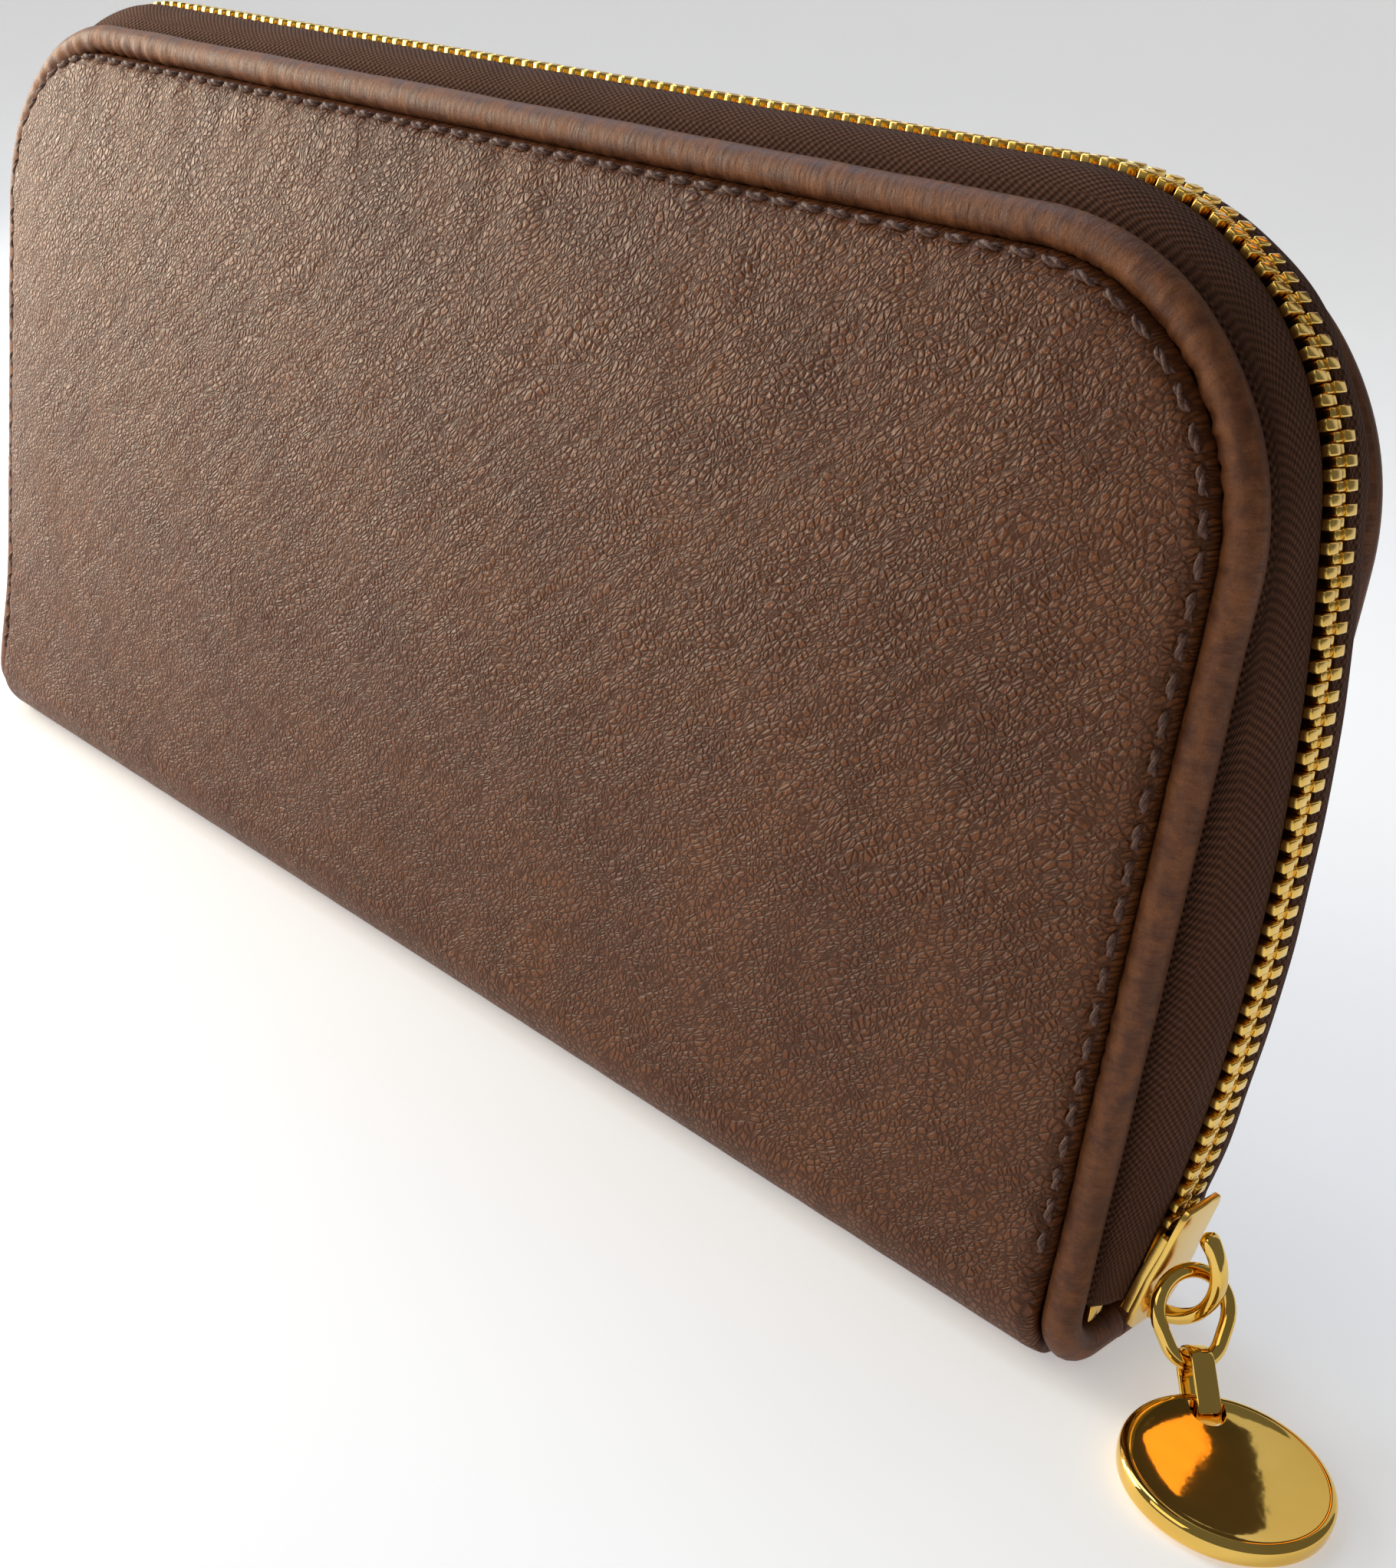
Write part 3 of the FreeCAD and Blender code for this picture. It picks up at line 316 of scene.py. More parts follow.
def chain_path(rise, low):
    """The same for the chain, rise outside its middle line."""
    foot = math.asin((low - LEG_MIDDLE) / (LEG_RADIUS + rise))
    bend = arc((BEND_MIDDLE, BEND_HEIGHT), CHAIN_BEND + rise,
               np.linspace(math.pi / 2, BEND_ANGLE, BEND_STEPS + 1))
    leg = arc(LEG_CENTRE, LEG_RADIUS + rise, np.linspace(BEND_ANGLE, foot, LEG_STEPS + 1))
    right = join([bend, leg])
    top = line((-BEND_MIDDLE, CHAIN_HEIGHT + rise), (BEND_MIDDLE, CHAIN_HEIGHT + rise), (0.0, 1.0), TOP_STEPS)
    return join([mirror_path(right), top, right])


def lengths(path):
    """Distance along a path at each of its points."""
    return running(path[:, :2])


def on_path(path, distances):
    """Points and unit normals at distances along a path."""
    along = lengths(path)
    found = np.stack([np.interp(distances, along, column) for column in path.T], 1)
    found[:, 2:] /= np.linalg.norm(found[:, 2:], axis=1)[:, None]
    return found


FLARE = 2.4
FLARE_REACH = (72, 96)
FLARE_HEIGHTS = (2, 26)


def flared(points):
    """The lower left corner stands out a little, as worn leather does."""
    share = step(-points[..., 0], *FLARE_REACH) * (1 - step(points[..., 2], *FLARE_HEIGHTS))
    moved = points.copy()
    moved[..., 0] -= FLARE * share
    return moved


# ---------------------------------------------------------------- materials

class Graph:
    """One material's shader nodes, added call by call."""

    def __init__(self, name):
        self.material = bpy.data.materials.new(name)
        self.material.use_nodes = True
        self.tree = self.material.node_tree
        self.surface = self.tree.nodes["Principled BSDF"]

    def feed(self, socket, value):
        """Links a socket to a node or an output, or sets its number."""
        if isinstance(value, bpy.types.Node):
            value = value.outputs[0]
        if isinstance(value, bpy.types.NodeSocket):
            self.tree.links.new(value, socket)
        else:
            socket.default_value = value

    def add(self, kind, inputs=(), **settings):
        """A node with its inputs fed and its settings made."""
        node = self.tree.nodes.new("ShaderNode" + kind)
        for name, value in settings.items():
            setattr(node, name, value)
        for name, value in dict(inputs).items():
            self.feed(node.inputs[name], value)
        return node

    def math(self, operation, *values):
        node = self.tree.nodes.new("ShaderNodeMath")
        node.operation = operation
        for number, value in enumerate(values):
            self.feed(node.inputs[number], value)
        return node.outputs[0]

    def weave(self, along, across, pitch, row):
        """Plain weave: knobs one pitch by one row, each row shifted from the next."""
        warp = self.math("SINE", self.math("MULTIPLY", along, TAU / pitch))
        weft = self.math("SINE", self.math("MULTIPLY", across, TAU / row))
        return self.math("MULTIPLY_ADD", self.math("MULTIPLY", warp, weft), 0.5, 0.5)

    def ranged(self, value, low, high, to_low=0.0, to_high=1.0):
        """A value moved from one range to another, smoothly, and held within it."""
        limits = {"From Min": low, "From Max": high, "To Min": to_low, "To Max": to_high}
        return self.add("MapRange", {"Value": value, **limits}, interpolation_type="SMOOTHSTEP").outputs[0]

    def mix(self, share, first, second):
        """From the first colour to the second as share goes from 0 to 1."""
        node = self.add("Mix", data_type="RGBA")
        for socket, value in (("Factor", share), (6, first), (7, second)):
            self.feed(node.inputs[socket], value)
        return node.outputs[2]

    def scaled(self, where, factors):
        return self.add("VectorMath", {0: where, 1: factors}, operation="MULTIPLY").outputs[0]

    def flat(self, turn=0.0):
        """Place on the unrolled surface, in millimetres and turned."""
        unrolled = self.add("UVMap", uv_map="Flat")
        turned = self.add("Mapping", {"Vector": unrolled, "Rotation": (0, 0, math.radians(turn))})
        return self.scaled(turned, (1 / MM,) * 3)

    def solid(self):
        """Place in the piece's own frame, in millimetres."""
        return self.scaled(self.add("TexCoord").outputs["Object"], (1 / MM,) * 3)

    def noise(self, where, scale, detail=3.0, roughness=0.5):
        return self.add("TexNoise", {"Vector": where, "Scale": scale, "Detail": detail,
                                     "Roughness": roughness}).outputs["Fac"]

    def edges(self, where, cell):
        """Distance from the borders between irregular cells, in cell sizes."""
        return self.add("TexVoronoi", {"Vector": where, "Scale": 1.0 / cell},
                        feature="DISTANCE_TO_EDGE").outputs["Distance"]

    def bump(self, height, distance):
        """Distance is how far full height stands out, in millimetres."""
        return self.add("Bump", {"Height": height, "Distance": distance * MM, "Strength": 1.0}).outputs[0]

    def finish(self, base, roughness, normal=None, **others):
        """Sets the surface; others are its further sockets, with _ for a space."""
        self.feed(self.surface.inputs["Base Color"], base)
        self.feed(self.surface.inputs["Roughness"], roughness)
        if normal is not None:
            self.feed(self.surface.inputs["Normal"], normal)
        for name, value in others.items():
            self.feed(self.surface.inputs[name.replace("_", " ")], value)
        return self.material


def colour(red, green, blue):
    """A colour from screen values of 0 to 255, made linear."""
    levels = [(level / 255 + 0.055) / 1.055 for level in (red, green, blue)]
    return tuple(max(level, 0.0) ** 2.4 for level in levels) + (1.0,)


GRAIN_TURN = -41.0
GRAIN_STRETCH = (0.72, 1.12, 1.0)
FOLD_STRETCH = (0.14, 0.62, 1.0)
GRAIN_DRIFT = (3.4, 3.4, 0.0)


def pebbled_leather(name, light, dark, painted_valley_shade, cell, depth, gloss):
    """Leather with a pebbled grain, its cells stretched along one direction, and painted shade in the creases
    between the pebbles.
    """
    graph = Graph(name)
    where = graph.flat(GRAIN_TURN)
    drift = graph.add("TexNoise", {"Vector": where, "Scale": 0.12, "Detail": 2.0}).outputs["Color"]
    moved = graph.scaled(drift, GRAIN_DRIFT)
    wandering = graph.add("VectorMath", {0: where, 1: moved}, operation="ADD").outputs[0]
    stretched = graph.scaled(wandering, GRAIN_STRETCH)
    pebbles = graph.ranged(graph.edges(stretched, cell), 0.0, 0.27)
    small = graph.ranged(graph.edges(stretched, cell / 1.9), 0.0, 0.35)
    patch = graph.ranged(graph.noise(where, 0.13, 2.0), 0.32, 0.68, 0.55, 1.0)
    folds = graph.ranged(graph.noise(graph.scaled(wandering, FOLD_STRETCH), 0.9, 3.0), 0.38, 0.58)
    grain = graph.math("MULTIPLY", pebbles, patch)
    height = graph.math("MULTIPLY_ADD", small, 0.22, grain)
    height = graph.math("MULTIPLY_ADD", folds, 0.60, height)
    height = graph.math("MULTIPLY_ADD", graph.noise(where, 7.0, 2.0), 0.18, height)
    tone = graph.noise(where, 0.05, 5.0, 0.7)
    base = graph.mix(graph.ranged(tone, 0.25, 0.75), dark, light)
    cells = graph.add("TexVoronoi", {"Vector": stretched, "Scale": 1.0 / cell}).outputs["Color"]
    base = graph.mix(graph.ranged(cells, 0.0, 1.0, 0.0, 0.22), base, dark)
    # Painted shade: the creases between the pebbles are mixed up to 0.6 of the way towards the dark valley
    # colour.
    hollow = graph.math("MULTIPLY", graph.math("SUBTRACT", 1.0, pebbles), 0.6)
    base = graph.mix(hollow, base, painted_valley_shade)
    rough = graph.math("MULTIPLY_ADD", graph.math("SUBTRACT", 1.0, grain), 0.18, gloss)
    rough = graph.math("MULTIPLY_ADD", graph.noise(where, 1.9, 2.0), 0.08, rough)
    return graph.finish(base, rough, graph.bump(height, depth), Specular_IOR_Level=0.24)


def smooth_leather(name, light, dark, gloss):
    """Edge leather with a fine nap, rubbed patches and faint cross wrinkles; the wrinkles are painted a little
    lighter on their ridges and darker in their troughs, as painted light and shade.
    """
    graph = Graph(name)
    where = graph.flat()
    patch = graph.noise(where, 0.42, 5.0, 0.68)
    wrinkle = graph.noise(graph.scaled(where, (1.3, 0.35, 1.0)), 1.3, 3.0, 0.5)
    nap = graph.noise(where, 5.5, 4.0, 0.7)
    # Painted light and shade: the wrinkles' height also lightens their ridges and darkens their troughs a
    # little.
    tone = graph.math("MULTIPLY_ADD", wrinkle, 0.18, graph.math("MULTIPLY", patch, 0.82))
    base = graph.mix(graph.ranged(tone, 0.36, 0.64), dark, light)
    base = graph.mix(graph.ranged(nap, 0.35, 0.7, 0.0, 0.45), base, dark)
    height = graph.math("MULTIPLY_ADD", nap, 0.35, wrinkle)
    rough = graph.ranged(patch, 0.3, 0.7, gloss, gloss + 0.14)
    return graph.finish(base, rough, graph.bump(height, 0.14), Specular_IOR_Level=0.35)


TAPE_SPLIT = 7.0


def woven(name, light, dark, knob, dash):
    """Zip tape: coarse knobs on its outer part and a finer weave of dashes beside the teeth; its colour follows
    the weave's height, as painted shade in the hollows and painted light on the knobs.
    """
    graph = Graph(name)
    where = graph.flat()
    parts = graph.add("SeparateXYZ", {0: where})
    along, across = parts.outputs[0], parts.outputs[1]
    knobs = graph.weave(along, across, knob, knob)
    dashes = graph.weave(along, across, dash, dash * 0.7)
    split = graph.ranged(across, TAPE_SPLIT - 0.25, TAPE_SPLIT + 0.25)
    height = graph.math("ADD", graph.math("MULTIPLY", knobs, graph.math("SUBTRACT", 1.0, split)),
                        graph.math("MULTIPLY", dashes, split))
    fuzz = graph.noise(where, 5.0, 3.0, 0.7)
    height = graph.math("MULTIPLY_ADD", fuzz, 0.5, height)
    # Painted shade and light: the colour goes from dark in the weave's hollows to light on its knobs and fuzz.
    tone = graph.ranged(height, 0.35, 1.3)
    patch = graph.noise(where, 0.2, 2.0)
    base = graph.mix(tone, dark, light)
    base = graph.mix(graph.ranged(patch, 0.3, 0.7, 0.0, 0.25), base, dark)
    return graph.finish(base, 0.82, graph.bump(height, 0.15), Specular_IOR_Level=0.15)


def cloth(name, light, dark, pitch):
    """Plain woven cloth, its colour following the weave's height: painted shade in the hollows and painted
    light on the knobs.
    """
    graph = Graph(name)
    where = graph.flat()
    parts = graph.add("SeparateXYZ", {0: where})
    weave = graph.weave(parts.outputs[0], parts.outputs[1], pitch, pitch)
    fuzz = graph.noise(where, 3.0, 3.0, 0.7)
    height = graph.math("MULTIPLY_ADD", fuzz, 0.6, weave)
    # Painted shade and light: dark in the weave's hollows, light on its knobs.
    base = graph.mix(graph.ranged(height, 0.3, 1.3), dark, light)
    return graph.finish(base, 0.85, graph.bump(height, 0.08), Specular_IOR_Level=0.15)


def polished_gold(name, gloss, marks):
    """Gold plate with faint rubbing marks and a slightly uneven polish."""
    graph = Graph(name)
    where = graph.solid()
    cloudy = graph.noise(where, 0.12, 2.0)
    fine = graph.noise(graph.scaled(where, (0.6, 0.6, 9.0)), 1.2, 4.0, 0.7)
    base = graph.mix(graph.ranged(cloudy, 0.3, 0.7), (0.84, 0.53, 0.11, 1.0), (0.90, 0.60, 0.15, 1.0))
    rough = graph.math("ADD", gloss, graph.math("MULTIPLY", fine, marks))
    return graph.finish(base, rough, graph.bump(graph.noise(where, 0.5, 2.0), 0.006), Metallic=1.0)


def grainy(name, light, dark, size, depth, roughness):
    """A plain material with a fine even grain, for foam, board and thread."""
    graph = Graph(name)
    where = graph.solid()
    cells = graph.add("TexVoronoi", {"Vector": where, "Scale": 1.0 / size}).outputs["Distance"]
    speckle = graph.noise(where, 1.5 / size, 3.0, 0.6)
    base = graph.mix(graph.ranged(speckle, 0.3, 0.7), dark, light)
    return graph.finish(base, roughness, graph.bump(cells, depth))


# The third colour of each pebbled leather is the painted shade in the creases between its pebbles.
PANEL = pebbled_leather("panel_leather", colour(122, 72, 36), colour(100, 55, 26), colour(42, 20, 9),
                        0.62, 0.17, 0.30)
EDGE = smooth_leather("edge_leather", colour(132, 80, 42), colour(86, 46, 21), 0.46)
CARD = pebbled_leather("card_leather", colour(112, 78, 56), colour(92, 60, 42), colour(58, 36, 25),
                       0.42, 0.04, 0.42)
TAPE = woven("zip_tape", colour(112, 74, 54), colour(64, 40, 28), 0.86, 0.80)
LINING = cloth("lining_cloth", colour(86, 62, 50), colour(50, 34, 27), 0.5)
GUSSET = cloth("gusset_cloth", colour(92, 66, 54), colour(56, 38, 30), 0.5)
THREAD = grainy("thread", colour(104, 68, 52), colour(62, 36, 26), 0.3, 0.05, 0.6)
FOAM = grainy("foam", colour(222, 216, 204), colour(196, 190, 178), 0.6, 0.15, 0.9)
BOARD = grainy("board", colour(170, 146, 118), colour(140, 116, 90), 0.4, 0.04, 0.85)
GOLD = polished_gold("gold_metal", 0.14, 0.10)
MIRROR_GOLD = polished_gold("mirror_gold", 0.03, 0.03)


# ---------------------------------------------------------------- leather covers

SIDE = HALF_LENGTH - SEAM_INSET
CROWN_TOP = HEIGHT - SEAM_INSET
BEND = CORNER - SEAM_INSET
SPINE_FOOT = COVER_DEPTH - SPINE_BEND
JOIN_DEPTH = 3.0


def columns(inset, straight, round_corner):
    """Places along X, closer together round the corners and at the ends."""
    turn = np.linspace(0, math.pi / 2, round_corner)[1:]
    right = SHOULDER + (CORNER - inset) * np.sin(turn)
    return np.concatenate([-right[::-1], np.linspace(-SHOULDER, SHOULDER, straight), right])


def round_top(x, inset):
    """Height of a D-shaped outline's top edge at each place along X."""
    over = np.maximum(np.abs(x) - SHOULDER, 0)
    rise = np.sqrt(np.maximum((CORNER - inset) ** 2 - over ** 2, 0))
    return np.where(over > 0, SPRING + rise, HEIGHT - inset)


def panel_drops():
    """Shares of the way from the top seam to the fold, closer together near the seam."""
    near = np.arange(0, 6.0, 0.4)
    far = np.linspace(6.0, CROWN_TOP - FOLD_HEIGHT, 106)
    return np.concatenate([near, far]) / (CROWN_TOP - FOLD_HEIGHT)


def seam_place(x, z):
    """Distance in from a panel's sewn edge, and distance along it from the left foot."""
    side = np.abs(x)
    out = np.maximum(side - SHOULDER, 0)
    up = np.maximum(z - SPRING, 0)
    corner = (out > 0) & (up > 0)
    inside = np.where(corner, BEND - np.hypot(out, up), np.minimum(SIDE - side, CROWN_TOP - z))
    angle = np.arctan2(up, np.maximum(out, 1e-6))
    half_top = SHOULDER + BEND * math.pi / 2 + SPRING
    nearest_leg = (SIDE - side) < (CROWN_TOP - z)
    along = np.where(nearest_leg, np.minimum(z, SPRING), half_top - side)
    along = np.where(corner, SPRING + BEND * angle, along)
    return inside, np.where(x < 0, along, 2 * half_top - along)


CREASE_BOW = 2.2


def crease(x, z, start, end, width, depth):
    """A long soft fold line pressed into the leather."""
    start, end = np.array(start), np.array(end)
    run = end - start
    share = ((x - start[0]) * run[0] + (z - start[1]) * run[1]) / (run @ run)
    bow = CREASE_BOW * np.sin(np.clip(share, 0, 1) * math.pi)
    away = ((x - start[0]) * run[1] - (z - start[1]) * run[0]) / math.hypot(*run) + bow
    fade = step(share, -0.05, 0.25) * (1 - step(share, 0.7, 1.05))
    return -depth * fade * np.exp(-(away / width) ** 2)


CREASES = {
    -1: [((-92, 37), (-30, 24), 1.3, 0.16), ((-84, 45), (-52, 38), 0.9, 0.07),
         ((-60, 72), (-38, 60), 1.6, 0.06)],
    1: [((88, 50), (40, 36), 1.4, 0.12), ((-70, 60), (-30, 52), 1.5, 0.08)],
}


def rolled_edge(inside, radius):
    """A quarter round: 1 at the edge and 0 from one radius inside it."""
    return 1 - np.sqrt(np.clip(1 - (1 - np.minimum(inside / radius, 1)) ** 2, 0, 1))


ROLL_RADIUS = 1.7
ROLL_DEPTH = 1.9
PILLOWS = ((1.1, 9), (1.2, 28))
PILLOW_HEIGHT = 42
STITCH_PULL = 0.42
SEAM_GATHER = 0.16


def panel_relief(x, z, side):
    """How far a panel's leather stands out from the flat cover, in millimetres."""
    inside, along = seam_place(x, z)
    inside = np.maximum(inside, 0)
    relief = -ROLL_DEPTH * rolled_edge(inside, ROLL_RADIUS)
    pillow = sum(rise * (1 - np.exp(-inside / reach)) for rise, reach in PILLOWS)
    relief += pillow * step(z, FOLD_HEIGHT, PILLOW_HEIGHT)
    stitched = step(z, STITCH_LOW - 1, STITCH_LOW + 2)
    pull = 0.5 + 0.5 * np.cos(along * TAU / STITCH_PITCH)
    relief -= STITCH_PULL * pull * np.exp(-(inside / 1.5) ** 2) * stitched
    gather = waves([along], 5.2, 3 + side, 5)
    relief += SEAM_GATHER * gather * np.exp(-inside / 4.5) * step(inside, 0.3, 1.6) * stitched
    relief += 0.10 * waves([x, z], 34, 11 + side) * step(inside, 2, 12)
    relief += 0.035 * waves([x, z], 9, 21 + side, 9) * step(inside, 1, 6)
    for start, end, width, depth in CREASES[side]:
        relief += crease(x, z, start, end, width, depth)
    return relief


def cover_grid(side):
    """Outer points of one cover and its share of the spine, the way out at each, and their unrolled places."""
    x = columns(SEAM_INSET, 181, 37)
    shares = panel_drops()
    top = round_top(x, SEAM_INSET)
    heights = top[None, :] + (FOLD_HEIGHT - top[None, :]) * shares[:, None]
    turn = np.linspace(0, math.pi / 2, 16)[1:]
    flat = np.linspace(SPINE_FOOT, JOIN_DEPTH * side, 12 if side < 0 else 4)[1:]
    low_depth = np.concatenate([SPINE_FOOT + SPINE_BEND * np.cos(turn), flat])
    low_height = np.concatenate([SPINE_BEND * (1 - np.sin(turn)), np.zeros(len(flat))])
    out_depth = np.concatenate([np.cos(turn), np.zeros(len(flat))])
    out_down = np.concatenate([np.sin(turn), np.ones(len(flat))])
    wide = np.ones((1, len(x)))
    depth = np.concatenate([np.full_like(heights, COVER_DEPTH), low_depth[:, None] * wide])
    height = np.concatenate([heights, low_height[:, None] * wide])
    out_y = np.concatenate([np.ones_like(heights), out_depth[:, None] * wide]) * side
    out_z = -np.concatenate([np.zeros_like(heights), out_down[:, None] * wide])
    across = np.tile(x, (len(height), 1))
    points = np.stack([across, depth * side, height], -1)
    out = np.stack([np.zeros_like(across), out_y, out_z], -1)
    rolled = SPINE_BEND * np.concatenate([turn, turn[-1] + np.abs(flat - SPINE_FOOT) / SPINE_BEND])
    unrolled = np.concatenate([heights, (FOLD_HEIGHT - rolled)[:, None] * wide]) * -side
    return points, out, np.stack([across, unrolled], -1)


END_ROLL = 1.5
WRINKLE_HEIGHT = 4.5


def leather_cover(name, side):
    """One cover's leather; the front one carries on under the spine."""
    points, out, unrolled = cover_grid(side)
    x, z = points[..., 0], points[..., 2]
    on_panel = step(out[..., 2], -0.9, 0.0) * step(z, 2.0, 12.0)
    relief = panel_relief(x, np.maximum(z, FOLD_HEIGHT), side)
    low_relief = -rolled_edge(np.maximum(SIDE - np.abs(x), 0), END_ROLL) * step(z, 0.0, 3.0)
    fold_wrinkle = -0.08 * (1 + waves([x], 6, 31 + side)) * np.exp(-((z - WRINKLE_HEIGHT) / 2.5) ** 2)
    relief = relief * on_panel + (low_relief + fold_wrinkle) * (1 - on_panel)
    outer = points + out * relief[..., None]
    inner = points + out * (np.minimum(relief, 0.2) - LEATHER)[..., None]
    return fix_normals(sheet_solid(name, flared(outer), flared(inner), unrolled))


place_over_fold(leather_cover("front_leather_cover", -1), PANEL, "panel_leather", "front_cover", "spine_cover")
place(leather_cover("rear_leather_cover", 1), "rear", PANEL, "panel_leather", "rear_cover")


# ---------------------------------------------------------------- rolled leather edge

AROUND = 20
GATHER_PITCH = 2.5
GATHER_HEIGHT = 0.26


def bead_frames(side):
    """Centres, sideways and outwards directions of the rolled edge, from left foot to right foot."""
    low = BEAD_RADIUS + LIP_BEND
    path = cover_path(BEAD_RADIUS, low)
    centres = np.stack([path[:, 0], np.full(len(path), side * BEAD_DEPTH), path[:, 1]], 1)
    sideways = np.stack([path[:, 2], np.zeros(len(path)), path[:, 3]], 1)
    outwards = np.tile([0.0, side, 0.0], (len(path), 1))
    turn = np.linspace(0, math.pi / 2, 13)[1:]
    foot = BEAD_DEPTH - LIP_BEND
    flat = np.linspace(foot, 0, 7)[1:]
    depth = np.concatenate([foot + LIP_BEND * np.cos(turn), flat])
    height = np.concatenate([low - LIP_BEND * np.sin(turn), np.full(len(flat), BEAD_RADIUS)])
    out_y = np.concatenate([np.cos(turn), np.zeros(len(flat))])
    out_z = -np.concatenate([np.sin(turn), np.ones(len(flat))])
    end = HALF_LENGTH - BEAD_RADIUS

    def lip(direction):
        spots = np.stack([np.full(len(depth), direction * end), side * depth, height], 1)
        return (spots, np.tile([float(direction), 0.0, 0.0], (len(depth), 1)),
                np.stack([np.zeros(len(depth)), side * out_y, out_z], 1))

    left = [rows[::-1] for rows in lip(-1)]
    right = lip(1)
    return [np.concatenate([a, b, c]) for a, b, c in zip(left, (centres, sideways, outwards), right)]


def leather_edge(name, side):
    """The rolled edge with the small gathers that sewing round a curve leaves in it."""
    centres, sideways, outwards = bead_frames(side)
    along = running(centres)
    angle = circle(AROUND)
    warped = along + 1.1 * waves([along], 11, 41 + side)
    gathers = np.sin(warped * TAU / GATHER_PITCH) * (0.45 + 0.35 * waves([along], 26, 43 + side, 4))
    corner = np.exp(-((along - 118) / 30) ** 2) + 0.6 * np.exp(-((along - 300) / 40) ** 2)
    gathers = gathers * (0.35 + corner)
    seam_side = np.clip(np.cos(angle - 0.8 * math.pi), 0, 1)
    radius = BEAD_RADIUS * (1 + 0.02 * waves([along], 15, 45 + side))[:, None] * np.ones(AROUND)
    radius = radius + GATHER_HEIGHT * gathers[:, None] * seam_side[None, :] ** 0.7
    rings = (centres[:, None, :]
             + (radius * np.cos(angle))[..., None] * sideways[:, None, :]
             + (radius * np.sin(angle))[..., None] * outwards[:, None, :])
    flat = np.stack([np.tile(along[:, None], AROUND), np.tile(angle * BEAD_RADIUS, (len(along), 1))], -1)
    return fix_normals(tube(name, flared(rings), flat))


place_over_fold(leather_edge("front_leather_edge", -1), EDGE, "edge_leather",
                "front_edge_bead", "left_spine_lip")
place(leather_edge("rear_leather_edge", 1), "rear", EDGE, "edge_leather", "rear_edge_bead", "right_spine_lip")


# ---------------------------------------------------------------- thread

STITCH_LENGTH = 2.6
STITCH_RADIUS = 0.24
PLY_SPREAD = 0.16
THREAD_DEPTH = 0.50


def thread_stitches(name, side):
    """Two-ply stitches lying in the groove, each end pulled down into its hole."""
    path = cover_path(STITCH_INSET, STITCH_LOW)
    total = lengths(path)[-1]
    points, faces, flat = [], [], []
    steps, around = 9, 8
    share = np.linspace(-1, 1, steps)
    for number in range(int(total / STITCH_PITCH)):
        middle = (number + 0.5) * STITCH_PITCH
        spots = on_path(path, middle + share * STITCH_LENGTH / 2)
        lift = 0.45 * (1 - share ** 4) - 0.25
        for ply in (0, 1):
            turn = share * 2.6 + ply * math.pi + number
            centre = np.stack([
                spots[:, 0] + spots[:, 2] * PLY_SPREAD * np.cos(turn),
                side * (COVER_DEPTH - THREAD_DEPTH + lift + PLY_SPREAD * np.sin(turn)),
                spots[:, 1] + spots[:, 3] * PLY_SPREAD * np.cos(turn)], 1)
            radius = STITCH_RADIUS * np.sqrt(np.clip(1.05 - share ** 6, 0.05, 1))
            angle = circle(around)
            ring = (centre[:, None, :]
                    + (radius[:, None] * np.cos(angle))[..., None]
                    * np.stack([spots[:, 2], np.zeros(steps), spots[:, 3]], 1)[:, None, :]
                    + (radius[:, None] * np.sin(angle))[..., None] * np.array([0, side, 0]))
            start = len(points) * steps * around
            points.append(ring.reshape(-1, 3))
            faces += [tuple(quad) for quad in grid_faces(steps, around, wrap=True, start=start)]
            faces.append(tuple(start + k for k in range(around))[::-1])
            faces.append(tuple(start + (steps - 1) * around + k for k in range(around)))
            flat.append(np.stack([np.tile((middle + share * 1.2)[:, None], around),
                                  np.tile(angle * 0.2, (steps, 1))], -1).reshape(-1, 2))
    return fix_normals(new_mesh(name, flared(np.concatenate(points)), faces, np.concatenate(flat)))


for name, side in SIDES.items():
    place(thread_stitches(f"{name}_thread", side), name, THREAD, "thread", f"{name}_stitching")


# ---------------------------------------------------------------- zip tapes

TAPE_FOOT = 7.2
CHAIN_FOOT = 4.6
CORD_PLACE = 3.75
SLACK_PLACE = 8.5


def bezier(guides, share):
    """A cubic curve through rows of guide points."""
    weights = [(1 - share) ** 3, 3 * share * (1 - share) ** 2, 3 * share ** 2 * (1 - share), share ** 3]
    return sum(weight[None, :, None] * guide[:, None, :] for weight, guide in zip(weights, guides))


def tape_guides(side, shift):
    """Guide rows of the tape's face, from its sewn edge over the shoulder to the teeth."""
    def row(path, depth):
        return np.stack([path[:, 0], np.full(len(path), side * depth), path[:, 1]], 1)
    root = row(cover_path(5.0 + shift, TAPE_FOOT), 7.0 + shift)
    wall = row(cover_path(0.6 - shift, TAPE_FOOT), 7.0 + shift)
    bulge = row(chain_path(shift - 0.9, TAPE_FOOT), 6.7 + shift)
    shoulder = row(chain_path(shift + 0.35, TAPE_FOOT), 5.6 + shift)
    flat = row(chain_path(shift, TAPE_FOOT), 3.9)
    edge = row(chain_path(shift, TAPE_FOOT), 2.25)
    return root, wall, bulge, shoulder, flat, edge


def tape_face(side, shift):
    """The tape's face: straight to the wall, a curve over the shoulder, then flat to the teeth."""
    root, wall, bulge, shoulder, flat, edge = tape_guides(side, shift)
    first = root[:, None, :] + (wall - root)[:, None, :] * np.linspace(0, 1, 6)[None, :-1, None]
    curve = bezier((wall, bulge, shoulder, flat), np.linspace(0, 1, 20))
    last = flat[:, None, :] + (edge - flat)[:, None, :] * np.linspace(0, 1, 7)[None, 1:, None]
    return np.concatenate([first, curve, last], 1)


